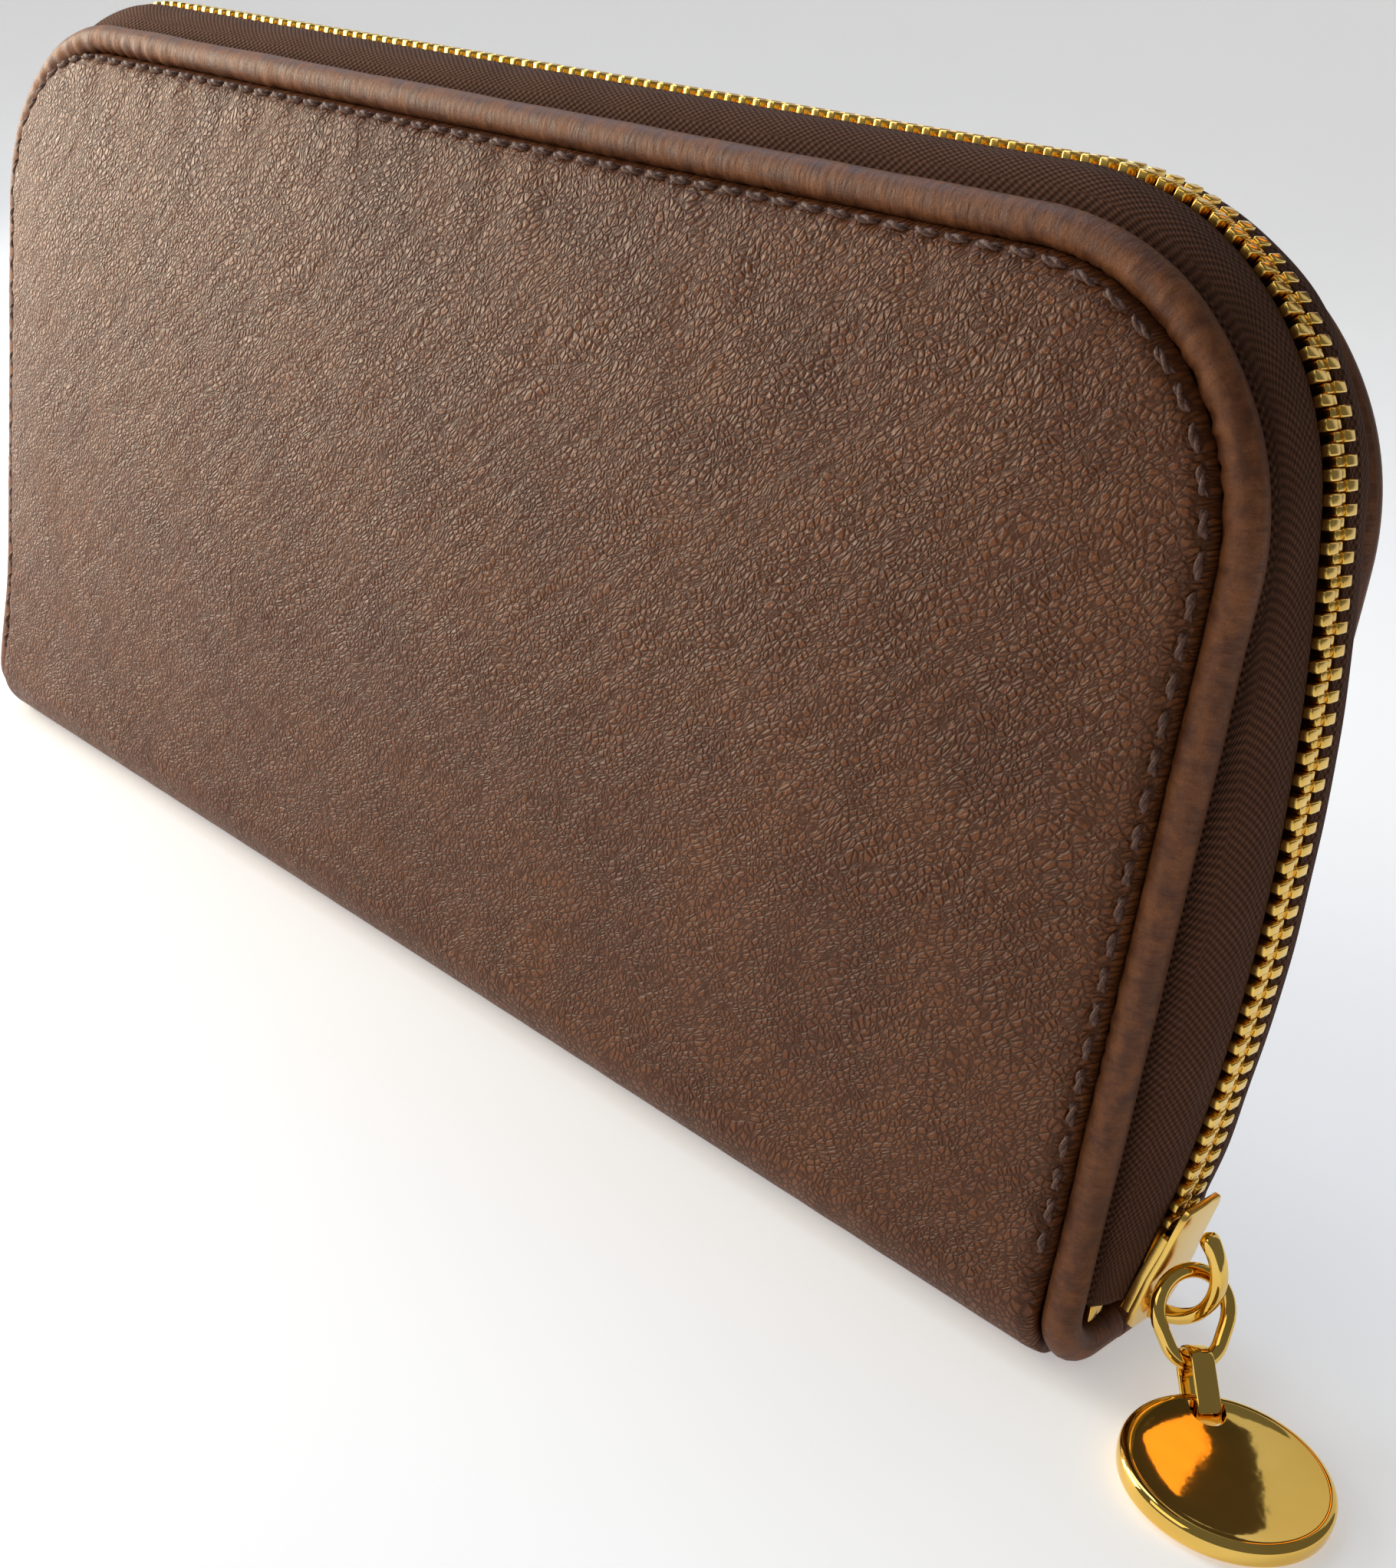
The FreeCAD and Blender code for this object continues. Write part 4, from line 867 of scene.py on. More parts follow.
def zip_tape(name, side):
    """One tape, with the cord that its teeth clamp and a little slack beside it."""
    outer, inner = tape_face(side, TAPE_HALF), tape_face(side, -TAPE_HALF)
    run = np.linalg.norm(np.diff(outer, axis=1), axis=2)
    across = np.mean(np.concatenate([np.zeros((len(outer), 1)), np.cumsum(run, 1)], 1), 0)
    path = chain_path(0, TAPE_FOOT)
    along = np.tile(lengths(path)[:, None], outer.shape[1])
    out = np.stack([path[:, 2], np.zeros(len(path)), path[:, 3]], 1)
    cord = np.exp(-((np.abs(outer[..., 1]) - CORD_PLACE) / 0.42) ** 2) * 0.28
    slack = 0.09 * waves([along], 13, 51 + side) * np.exp(-((across - SLACK_PLACE) / 2.0) ** 2)
    outer = outer + out[:, None, :] * (cord + slack)[..., None]
    inner = inner + out[:, None, :] * slack[..., None]
    flat = np.stack([along, np.tile(across, (len(along), 1))], -1)
    return fix_normals(sheet_solid(name, outer, inner, flat))


for name, side in SIDES.items():
    place(zip_tape(f"{name}_woven_tape", side), name, TAPE, "zip_tape", f"{name}_zip_tape")


# ---------------------------------------------------------------- teeth

STOP_PLACE = 9.0
STOP_LENGTH = 2.6
TAIL_TEETH = 3
TAIL_START = np.array([94.6, 4.9, 5.25])
SLIDER_HEIGHT = 11.3
SLIDER_LENGTH = 14.0
SLIDER_ANGLE = math.asin((SLIDER_HEIGHT - LEG_MIDDLE) / LEG_RADIUS)
MOUTH_TEETH = 1.5


def bevelled(blocks, width, segments=2):
    """A shape of joined boxes, each (low, high), with rounded edges, as points and faces."""
    shape = bmesh.new()
    for low, high in blocks:
        middle = (np.array(low) + np.array(high)) / 2
        size = np.array(high) - np.array(low)
        made = bmesh.ops.create_cube(shape, size=1.0)
        bmesh.ops.scale(shape, vec=Vector(size), verts=made["verts"])
        bmesh.ops.translate(shape, vec=Vector(middle), verts=made["verts"])
    bmesh.ops.bevel(shape, geom=shape.edges[:], offset=width, segments=segments, profile=0.6, affect="EDGES")
    return taken(shape)


def tooth_shape():
    """One tooth, as out, across and along: a heel grips the tape and a head meets the other row."""
    heel = ((-1.1, -2.15, -0.48), (1.1, -0.5, 0.48))
    head = ((-0.82, -0.7, -0.42), (0.82, 0.65, 0.42))
    return bevelled([heel, head], 0.17)


def copies(name, shape, placements):
    """Many copies of one shape in one mesh; a placement is (origin, out, across, along)."""
    points, faces = shape
    everything, skins = [], []
    for number, (origin, out, across, along) in enumerate(placements):
        axes = np.stack([out, across, along])
        everything.append(origin + points @ axes)
        skins += [tuple(index + number * len(points) for index in face) for face in faces]
    return new_mesh(name, np.concatenate(everything), skins)


def tooth_rows(side):
    """Where each tooth of a row's closed run goes, from the bottom stop to the slider's mouth."""
    path = chain_path(0, CHAIN_FOOT)
    total = lengths(path)[-1]
    foot_angle = math.asin((CHAIN_FOOT - LEG_MIDDLE) / LEG_RADIUS)
    slider_place = total - (SLIDER_ANGLE - foot_angle) * LEG_RADIUS
    first = STOP_PLACE + STOP_LENGTH / 2 + TOOTH_PITCH / 2
    last = slider_place - SLIDER_LENGTH / 2 + MOUTH_TEETH * TOOTH_PITCH
    offset = TOOTH_PITCH / 2 if side > 0 else 0.0
    count = int((last - first - offset) / TOOTH_PITCH) + 1
    spots = on_path(path, first + offset + np.arange(count) * TOOTH_PITCH)
    rows = []
    for x, z, out_x, out_z in spots:
        out = np.array([out_x, 0, out_z])
        along = np.array([out_z, 0, -out_x])
        rows.append((np.array([x, 0, z]), out, np.array([0, -side, 0]), along))
    return rows


def tail_rows(side):
    """The few smaller teeth of a row's loose end, lying flat inside the spine."""
    rows = []
    for number in range(TAIL_TEETH):
        origin = TAIL_START * np.array([1, side, 1]) - np.array([number * TOOTH_PITCH, side, 0])
        rows.append((origin, np.array([0, 0, 0.82]), np.array([0, -side, 0]) * 0.8, np.array([0.9, 0, 0])))
    return rows


for name, side in SIDES.items():
    teeth = copies(f"{name}_teeth", tooth_shape(), tooth_rows(side) + tail_rows(side))
    place(fix_normals(teeth), name, GOLD, "gold_metal", f"{name}_zip_teeth")


# ---------------------------------------------------------------- slider

def swept(name, centres, sides, outs, section, closed=False):
    """A bar of one section along a row of centres; section holds its points as (sideways, outwards)."""
    centres, sides, outs = (np.asarray(rows, float) for rows in (centres, sides, outs))
    section = np.asarray(section, float)
    if section.ndim == 2:
        section = np.tile(section, (len(centres), 1, 1))
    rings = (centres[:, None, :] + section[..., :1] * sides[:, None, :] + section[..., 1:] * outs[:, None, :])
    return fix_normals(tube(name, rings, closed=closed))


def rounded_section(half_wide, half_thick, squareness=0.55, points=24):
    """A rectangle with generous round corners."""
    angle = circle(points)
    wide = np.sign(np.cos(angle)) * np.abs(np.cos(angle)) ** squareness * half_wide
    thick = np.sign(np.sin(angle)) * np.abs(np.sin(angle)) ** squareness * half_thick
    return np.stack([wide, thick], 1)


SLIDER_LEAN = math.radians(1.5) - SLIDER_ANGLE
SLIDER_OUT = np.array([math.cos(SLIDER_LEAN), 0, -math.sin(SLIDER_LEAN)])
SLIDER_UP = np.array([math.sin(SLIDER_LEAN), 0, math.cos(SLIDER_LEAN)])
SLIDER_ACROSS = np.array([0.0, 1.0, 0.0])
SLIDER_MIDDLE = np.array([LEG_CENTRE[0] + LEG_RADIUS * math.cos(SLIDER_ANGLE), 0, SLIDER_HEIGHT])
WING_GAP = 1.5
WING_THICK = 0.7
WING_FACE = WING_GAP + WING_THICK
WING_HALF = [(2.3, -7.0), (3.3, -6.2), (3.75, -4.6), (3.75, -0.6), (3.2, 2.2), (3.05, 6.2), (2.6, 7.0)]
WING = WING_HALF + [(-across, up) for across, up in WING_HALF[::-1]]
FLANGE = [(3.75, -4.8), (3.75, -0.6), (3.2, 2.2), (3.15, 3.6),
          (2.5, 3.6), (2.55, 2.2), (3.05, -0.6), (3.05, -4.8)]
WEDGE_HALF = [(0.8, -5.4), (1.05, -4.5), (0.7, -3.1)]
WEDGE = [(0, -6.6), *WEDGE_HALF, (0, -2.2)] + [(-across, up) for across, up in WEDGE_HALF[::-1]]
FLANGE_LOW = 0.75
FLANGE_HIGH = WING_GAP + 0.15
WEDGE_HIGH = WING_GAP + 0.1


def plate(shape, outline, low, high, width):
    """Adds a bevelled plate to a shape: its outline is (across, up) and it lies between two heights out."""
    base = [shape.verts.new((low, across, up)) for across, up in outline]
    top = raise_outline(shape, base, (high - low, 0, 0))
    edges = dict.fromkeys(edge for vert in base + top for edge in vert.link_edges)
    rims = [edge for edge in edges if abs(edge.verts[0].co.x - edge.verts[1].co.x) < 1e-6]
    bmesh.ops.bevel(shape, geom=rims, offset=width, segments=3, profile=0.6, affect="EDGES", clamp_overlap=True)


def slider_parts():
    """Two wings, the wedge between them and the flanges along their sides."""
    shape = bmesh.new()
    plate(shape, WING, WING_GAP, WING_FACE, 0.16)
    plate(shape, WING, -WING_FACE, -WING_GAP, 0.16)
    plate(shape, WEDGE, -WEDGE_HIGH, WEDGE_HIGH, 0.05)
    for side in (-1, 1):
        flange = [(side * across, up) for across, up in FLANGE]
        plate(shape, flange, FLANGE_LOW, FLANGE_HIGH, 0.1)
        plate(shape, flange, -FLANGE_HIGH, -FLANGE_LOW, 0.1)
    bmesh.ops.recalc_face_normals(shape, faces=shape.faces)
    points, faces = taken(shape)
    placed = SLIDER_MIDDLE + points @ np.stack([SLIDER_OUT, SLIDER_ACROSS, SLIDER_UP])
    return sharpen(new_mesh("slider_plates", placed, faces), 50)


BRIDGE_RADIUS = 5.25
BRIDGE_CENTRE = (WING_FACE - 0.9, -0.3)
BRIDGE_STEPS = 40
BRIDGE_ENDS = (-79, 69)


def bridge():
    """The bow that carries the ring; its free end is rounded and a little swollen."""
    angle = np.radians(np.linspace(*BRIDGE_ENDS, BRIDGE_STEPS))
    share = np.linspace(0, 1, BRIDGE_STEPS)
    radial = np.cos(angle)[:, None] * SLIDER_OUT + np.sin(angle)[:, None] * SLIDER_UP
    middle = SLIDER_MIDDLE + BRIDGE_CENTRE[0] * SLIDER_OUT + BRIDGE_CENTRE[1] * SLIDER_UP
    centres = middle + BRIDGE_RADIUS * radial
    swell = 1 + 0.10 * np.exp(-((share - 0.93) / 0.05) ** 2) + 0.25 * np.exp(-(share / 0.06) ** 2)
    end = np.sqrt(np.clip(1 - np.clip((share - 0.955) / 0.045, 0, 1) ** 2, 0.04, 1))
    section = rounded_section(0.85, 0.65, 0.62)[None] * (swell * end)[:, None, None]
    return swept("slider_bow", centres, np.tile(SLIDER_ACROSS, (BRIDGE_STEPS, 1)), radial, section)


place(slider_parts(), "slider", GOLD, "gold_metal", "slider_body")
place(bridge(), "slider", MIRROR_GOLD, "gold_metal", "slider_bridge")


# ---------------------------------------------------------------- pull

joint_place = {joint["name"]: np.array(joint["pos_m"]) / MM for joint in frame["joints"] if "pos_m" in joint}
joint_axis = {joint["name"]: np.array(joint["axis"]) for joint in frame["joints"]}
RING_TOP = joint_place["ring_swing"]
RING_LOW = joint_place["link_swing"]
BAR = joint_place["disc_swing"]
RING_WIRE = 0.7
RING_TOP_BEND = 3.5
RING_LOW_BEND = 2.8


def stadium(first, second, first_radius, second_radius, across, steps=26, straight=6):
    """Centres and outward normals of a loop round two places, tangent to both bends."""
    run = second - first
    reach = np.linalg.norm(run)
    down = run / reach
    tilt = math.asin((first_radius - second_radius) / reach)
    quarter = math.pi / 2
    bends = ((first, first_radius, quarter - tilt, 3 * quarter + tilt),
             (second, second_radius, tilt - quarter, quarter - tilt))
    points, normals = [], []
    for centre, radius, start, end in bends:
        for angle in np.linspace(start, end, steps):
            normals.append(math.cos(angle) * down + math.sin(angle) * across)
            points.append(centre + radius * normals[-1])
    full_points, full_normals = [], []
    for number, (point, normal) in enumerate(zip(points, normals)):
        full_points.append(point)
        full_normals.append(normal)
        if number % steps == steps - 1:
            after = points[(number + 1) % len(points)]
            for share in np.linspace(0, 1, straight + 2)[1:-1]:
                full_points.append(point * (1 - share) + after * share)
                full_normals.append(normal)
    return np.array(full_points), np.array(full_normals)


def pull_ring():
    """A ring of round wire, wider at the slider than at the link."""
    down = unit(RING_LOW - RING_TOP)
    across = -joint_axis["ring_swing"]
    first = RING_TOP + down * RING_TOP_BEND
    second = RING_LOW - down * RING_LOW_BEND
    centres, normals = stadium(first, second, RING_TOP_BEND, RING_LOW_BEND, across)
    plane = np.cross(down, across)
    angle = circle(20)
    section = np.stack([np.cos(angle), np.sin(angle)], 1) * RING_WIRE
    return swept("pull_ring_loop", centres, np.tile(plane, (len(centres), 1)), normals, section, closed=True)


LINK_TURN = math.radians(38)
LINK_BEND = 1.6
LINK_SLACK = 0.2


def pull_link():
    """A loop of flat band from the ring down through the disc's hole."""
    up = unit(RING_LOW - BAR)
    axis = np.array([math.sin(LINK_TURN), math.cos(LINK_TURN), 0])
    across = np.cross(axis, up)
    top = RING_LOW - up * LINK_SLACK
    centres, normals = stadium(BAR, top, LINK_BEND, LINK_BEND, across)
    return swept("pull_link_band", centres, np.tile(axis, (len(centres), 1)), normals,
                 rounded_section(1.1, 0.25, 0.6), closed=True)


DISC_FACE = 1.1
DISC_UNDER = 8.0
DISC_RIM = 8.35
RIM_BEND = 0.75
DISH_RADIUS = 8.2
DISH_EDGE = 8.1
DISH_DEPTH = 0.62
DISC_AROUND = 144
HOLE_OUTER = 7.8
HOLE_INNER = 5.2
HOLE_BEND = 1.6
CUTTER_DEPTH = 4.0


def disc_profile():
    """Radius and height along the disc's skin, from under its middle, round the rim and into the dish."""
    under = [(radius, -DISC_FACE) for radius in np.linspace(0, DISC_UNDER, 18)]
    rim = [(DISC_RIM + RIM_BEND * math.cos(turn),
            (DISC_FACE - RIM_BEND) * np.sign(math.sin(turn)) + RIM_BEND * math.sin(turn))
           for turn in np.linspace(-math.pi / 2, math.pi / 2, 17)]
    dish = [(radius, DISC_FACE - DISH_DEPTH * (1 - (radius / DISH_RADIUS) ** 2) ** 0.8)
            for radius in np.linspace(DISH_EDGE, 0, 26)]
    return under[1:] + rim + dish[:-1], dish[-1][1]


def hole_cutter(middle, axes):
    """A D-shaped bar that cuts the disc's hole."""
    centre = -HOLE_INNER - HOLE_BEND
    hole = [(-HOLE_OUTER, HOLE_BEND), (-HOLE_OUTER, -HOLE_BEND), (centre, -HOLE_BEND)]
    hole += [(centre + HOLE_BEND * math.cos(turn), HOLE_BEND * math.sin(turn))
             for turn in np.linspace(-1.35, 1.35, 14)]
    hole.append((centre, HOLE_BEND))
    shape = bmesh.new()
    base = [shape.verts.new(Vector(middle + np.array([out, side, -CUTTER_DEPTH / 2]) @ axes) * MM)
            for out, side in hole]
    raise_outline(shape, base, Vector(axes[2]) * CUTTER_DEPTH * MM)
    bmesh.ops.recalc_face_normals(shape, faces=shape.faces)
    mesh = bpy.data.meshes.new("slot_cutter")
    shape.to_mesh(mesh)
    shape.free()
    cutter = bpy.data.objects.new("slot_cutter", mesh)
    bpy.context.scene.collection.objects.link(cutter)
    return cutter


def cut_away(piece, cutter):
    """Takes the cutter's volume out of a piece and deletes the cutter."""
    change = piece.modifiers.new("slot", "BOOLEAN")
    change.object = cutter
    change.solver = "EXACT"
    bpy.context.view_layer.update()
    done = bpy.data.meshes.new_from_object(piece.evaluated_get(bpy.context.evaluated_depsgraph_get()))
    piece.modifiers.clear()
    piece.data = done
    bpy.data.objects.remove(cutter)


def pull_disc():
    """A disc turned with a hollow upper face and a rounded rim, with a D-shaped hole beside the rim."""
    disc_low, disc_high = span("pull_disc")
    middle = (disc_low + disc_high) / 2
    outward = unit(middle - BAR)
    across = unit(np.cross([0, 0, 1.0], outward))
    axes = np.stack([outward, across, np.cross(outward, across)])
    profile, dish_floor = disc_profile()
    points = [(0.0, 0.0, -DISC_FACE)]
    for radius, height in profile:
        points += [(radius * math.cos(turn), radius * math.sin(turn), height) for turn in circle(DISC_AROUND)]
    points.append((0.0, 0.0, dish_floor))
    faces = [tuple(quad) for quad in grid_faces(len(profile), DISC_AROUND, wrap=True, start=1)]
    last = len(points) - 1
    first_top = last - DISC_AROUND
    faces += [(0, 1 + (k + 1) % DISC_AROUND, 1 + k) for k in range(DISC_AROUND)]
    faces += [(last, first_top + k, first_top + (k + 1) % DISC_AROUND) for k in range(DISC_AROUND)]
    disc = fix_normals(new_mesh("pull_disc_hollow", middle + np.array(points) @ axes, faces))
    cut_away(disc, hole_cutter(middle, axes))
    return sharpen(disc, 40)


place(pull_ring(), "pull_ring", MIRROR_GOLD, "gold_metal", "pull_ring")
place(pull_link(), "pull_link", MIRROR_GOLD, "gold_metal", "pull_link")
place(pull_disc(), "pull_disc", MIRROR_GOLD, "gold_metal", "pull_disc")


# ---------------------------------------------------------------- zip stops

def stops():
    """The clamp at the closed end of both rows, and the end block of each loose row."""
    path = chain_path(0, CHAIN_FOOT)
    x, z, out_x, out_z = on_path(path, [STOP_PLACE])[0]
    clamp = bevelled([((-1.25, -2.2, -1.3), (1.25, 2.2, 1.3))], 0.35, 3)
    spot = ((x, 0, z), (out_x, 0, out_z), (0, 1.0, 0), (out_z, 0, -out_x))
    spot = tuple(np.array(each) for each in spot)
    place(fix_normals(copies("zip_bottom_clamp", clamp, [spot])), "rear", GOLD, "gold_metal", "zip_bottom_stop")
    block = bevelled([((-0.8, -1.15, -0.95), (0.8, 1.15, 0.95))], 0.3, 3)
    for name, side in SIDES.items():
        middle = TAIL_START * np.array([1, side, 1]) - np.array([(TAIL_TEETH + 0.3) * TOOTH_PITCH, 0, 0])
        piece = fix_normals(copies(f"{name}_top_clamp", block, [(middle, *np.eye(3))]))
        place(piece, name, GOLD, "gold_metal", f"{name}_top_stop")


stops()


# ---------------------------------------------------------------- layers inside a cover

LAYER_STRAIGHT = 73
LAYER_CORNER = 13
LINING_INSET = 4.2
LINING_LOW = 10.0
LINING_HALF = 0.25


def d_heights(x, inset, low, rows=34):
    """Heights of a grid over a D-shaped layer, from its round top down to its straight lower edge."""
    top = round_top(x, inset)
    return top[None] + (low - top[None]) * np.linspace(0, 1, rows)[:, None]


def d_layer(name, node, side, inset, swell):
    """One flat layer of a cover with softly rounded edges."""
    low, high = span(node)
    near, far = sorted((abs(low[1]), abs(high[1])))
    x = columns(inset, LAYER_STRAIGHT, LAYER_CORNER)
    z = d_heights(x, inset, low[2])
    across = np.tile(x, (len(z), 1))
    edge = np.minimum(HALF_LENGTH - inset - np.abs(across), z[0] - z)
    rounding = (far - near) * 0.35 * np.exp(-np.maximum(np.minimum(edge, z - low[2]), 0) / 0.8)
    uneven = swell * waves([across, z], 22, 61 + side)
    outer = np.stack([across, side * (far - rounding - abs(swell) + uneven), z], -1)
    inner = np.stack([across, side * (near + rounding), z], -1)
    return fix_normals(sheet_solid(name, outer, inner, np.stack([across, z], -1)))


def lining_sheet(name, side):
    """The lining of one cover, carried down over the inside of the spine."""
    low, high = span("front_lining")
    x = columns(LINING_INSET, LAYER_STRAIGHT, LAYER_CORNER)
    z = d_heights(x, LINING_INSET, LINING_LOW)
    depth = np.full_like(z, abs(low[1]) - LINING_HALF)
    path = np.array([(8.3, 8.6), (8.7, 7.4), (9.4, 6.3), (9.5, 5.0), (8.9, 3.6),
                     (7.6, 2.4), (6.0, 1.8), (4.0, 1.62), (2.0, 1.6), (0.0, 1.6)])
    wide = np.ones((1, len(x)))
    depth = np.concatenate([depth, path[:, :1] * wide])
    z = np.concatenate([z, path[:, 1:] * wide])
    narrow = step(z, 1.5, 9.0)
    across = np.tile(x, (len(z), 1)) * (0.985 + 0.015 * narrow)
    steps = np.hypot(np.diff(depth, axis=0), np.diff(z, axis=0))
    run = np.concatenate([np.zeros((1, len(x))), np.cumsum(steps, 0)])
    wrinkle = 0.12 * waves([across, z], 14, 71 + side) * step(z, 1.5, 9)
    face = np.stack([across, side * (depth - LINING_HALF + np.minimum(wrinkle, 0.2)), z], -1)
    back = np.stack([across, side * (depth + LINING_HALF), z - 0.3 * (1 - step(z, 2, 7))], -1)
    return fix_normals(sheet_solid(name, face, back, np.stack([across, run], -1)))


for name, side in SIDES.items():
    foam = place(d_layer(f"{name}_foam_pad", f"{name}_padding", side, 5.0, 0.06), name, FOAM, "foam",
                 f"{name}_padding")
    stiffener = d_layer(f"{name}_stiffener", f"{name}_board", side, LINING_INSET, 0.0)
    place(stiffener, name, BOARD, "board", f"{name}_board")
    sheet = lining_sheet(f"{name}_lining_sheet", side)
    if side < 0:
        place_over_fold(sheet, LINING, "lining_cloth", "front_lining", "spine_lining")
    else:
        place(sheet, "rear", LINING, "lining_cloth", "rear_lining")


# ---------------------------------------------------------------- card pockets

def soft_panel(low, high, corner, swell, lean=0.0, seed=81):
    """A thin panel with round corners and soft edges, between a low and a high corner."""
    low, high = np.array(low, float), np.array(high, float)
    u = np.linspace(0, 1, 45)
    v = np.linspace(0, 1, 17)
    across, up = np.meshgrid(low[0] + (high[0] - low[0]) * u, low[2] + (high[2] - low[2]) * v)
    edge_x = np.minimum(across - low[0], high[0] - across)
    edge_z = np.minimum(up - low[2], high[2] - up)
    tuck = np.maximum(corner - edge_x, 0)
    cut = corner - np.sqrt(np.maximum(corner ** 2 - tuck ** 2, 0))
    middle = (low[2] + high[2]) / 2
    half = (high[2] - low[2]) / 2
    up = middle + (up - middle) * (half - cut) / half
    soft = (high[1] - low[1]) / 2 * np.exp(-np.minimum(edge_x, edge_z) / 0.35) * 0.6
    wave = swell * waves([across, up], 18, seed)
    near = low[1] + soft + wave
    far = high[1] - soft + wave
    tilt = math.tan(lean) * (up - low[2])
    flat = np.stack([across, up], -1)
    return np.stack([across, near + tilt, up], -1), np.stack([across, far + tilt, up], -1), flat


def combined(name, sheets):
    """Several closed sheets in one mesh."""
    pieces = [sheet_solid(f"{name}_{number}", *sheet) for number, sheet in enumerate(sheets)]
    shape = bmesh.new()
    for piece in pieces:
        shape.from_mesh(piece.data)
    mesh = bpy.data.meshes.new(name)
    bmesh.ops.recalc_face_normals(shape, faces=shape.faces)
    shape.to_mesh(mesh)
    shape.free()
    for piece in pieces:
        bpy.data.objects.remove(piece)
    made = bpy.data.objects.new(name, mesh)
    bpy.context.scene.collection.objects.link(made)
    return made


SLOT_ROWS = 4
SLOT_STEP = 13.0
SLOT_HEIGHT = 15.0
SLOT_WIDTH = 86.5
SLOT_THICK = 0.4
SLOT_LEAN = math.radians(2.4)

for name, side in SIDES.items():
    low, high = span(f"{name}_card_panel")
    backing = combined(f"{name}_card_backing", [soft_panel(low, high, 5.0, 0.0)])
    place(backing, name, CARD, "card_leather", f"{name}_card_panel")
    pocket_low, pocket_high = span(f"{name}_card_pockets")
    back = min(abs(low[1]), abs(high[1])) - 0.1
    strips = []
    near, far = sorted((side * (back - SLOT_THICK), side * back))
    for column in (-1, 1):
        left, right = sorted((column * high[0], column * (high[0] - SLOT_WIDTH)))
        for row in range(SLOT_ROWS):
            foot = pocket_low[2] + row * SLOT_STEP
            strips.append(soft_panel((left, near, foot), (right, far, foot + SLOT_HEIGHT), 3.0,
                                     0.03, -side * SLOT_LEAN, 90 + row))
    place(combined(f"{name}_card_slots", strips), name, CARD, "card_leather", f"{name}_card_pockets")


# ---------------------------------------------------------------- coin pocket

for name, side in SIDES.items():
    low, high = span(f"coin_pocket_{name}")
    wall = combined(f"coin_wall_{name}", [soft_panel(low, high, 4.0, 0.04, 0.0, 100 + side)])
    place(wall, "coin_pocket", CARD, "card_leather", f"coin_pocket_{name}")
    low, high = span(f"coin_{name}_tape")
    tape = combined(f"coin_woven_tape_{name}", [soft_panel(low, high, 0.5, 0.0)])
    place(tape, "coin_pocket", TAPE, "zip_tape", f"coin_{name}_tape")


def coin_binding():
    """The folded binding round the pocket's lower edge and ends."""
    low, high = span("coin_pocket_seam")
    wide = 1.0
    end, floor = high[0] - wide, low[2] + wide
    bend = 4.0
    corner = np.linspace(0, math.pi / 2, 9)
    right_x = end - bend + bend * np.sin(corner)
    right_z = floor + bend - bend * np.cos(corner)
    middle_x = np.linspace(bend - end, end - bend, 30)[1:-1]
    x = np.concatenate([[-end], -right_x[::-1], middle_x, right_x, [end]])
    z = np.concatenate([[high[2]], right_z[::-1], np.full(len(middle_x), floor), right_z, [high[2]]])
    centres = np.stack([x, np.zeros(len(x)), z], 1)
    heading = np.gradient(centres, axis=0)
    heading /= np.linalg.norm(heading, axis=1)[:, None]
    sides = np.tile([0.0, 1.0, 0.0], (len(x), 1))
    outs = np.cross(heading, sides)
    return swept("coin_binding", centres, sides, outs, rounded_section(0.72, wide, 0.6, 16))


place(coin_binding(), "coin_pocket", LINING, "lining_cloth", "coin_pocket_seam")


COIN_PITCH = 1.5


def coin_teeth():
    """The small zip's two rows of teeth."""
    low, high = span("coin_zip_teeth")
    block = bevelled([((-0.3, -0.3, -0.8), (0.3, 0.85, 0.8))], 0.12)
    rows = []
    for number in range(int(round((high[0] - low[0] - 0.6) / COIN_PITCH + 0.5))):
        for side in (-1, 1):
            x = low[0] + 0.3 + (number + (side + 1) / 4) * COIN_PITCH
            rows.append((np.array([x, 0, high[2] - 0.8]), *np.diag([1.0, side, 1.0])))
    place(fix_normals(copies("coin_teeth", block, rows)), "coin_pocket", GOLD, "gold_metal", "coin_zip_teeth")


coin_teeth()
for node in ("coin_slider_body", "coin_slider_pull"):
    piece = frame["nodes"][node]
    piece.data.materials.clear()
    piece.data.materials.append(GOLD)


# ---------------------------------------------------------------- gussets

def smooth_run(corners, steps=8):
    """A smooth curve through a few places."""
    corners = np.array(corners, float)
    padded = np.concatenate([2 * corners[:1] - corners[1:2], corners, 2 * corners[-1:] - corners[-2:-1]])
    points = []
    for number in range(1, len(padded) - 2):
        a, b, c, d = padded[number - 1:number + 3]
        for share in np.linspace(0, 1, steps, endpoint=False):
            points.append(0.5 * (2 * b + (c - a) * share + (2 * a - 5 * b + 4 * c - d) * share ** 2
                                 + (3 * b - 3 * c + d - a) * share ** 3))
    return np.array(points + [corners[-1]])


GUSSET_HALF = 0.2
GUSSET_DIP = 7.0
GUSSET_FOLDS = [(90, 6.0), (84.5, 5.2), (80.2, 3.9), (82.5, 2.2), (85, 0.7)]


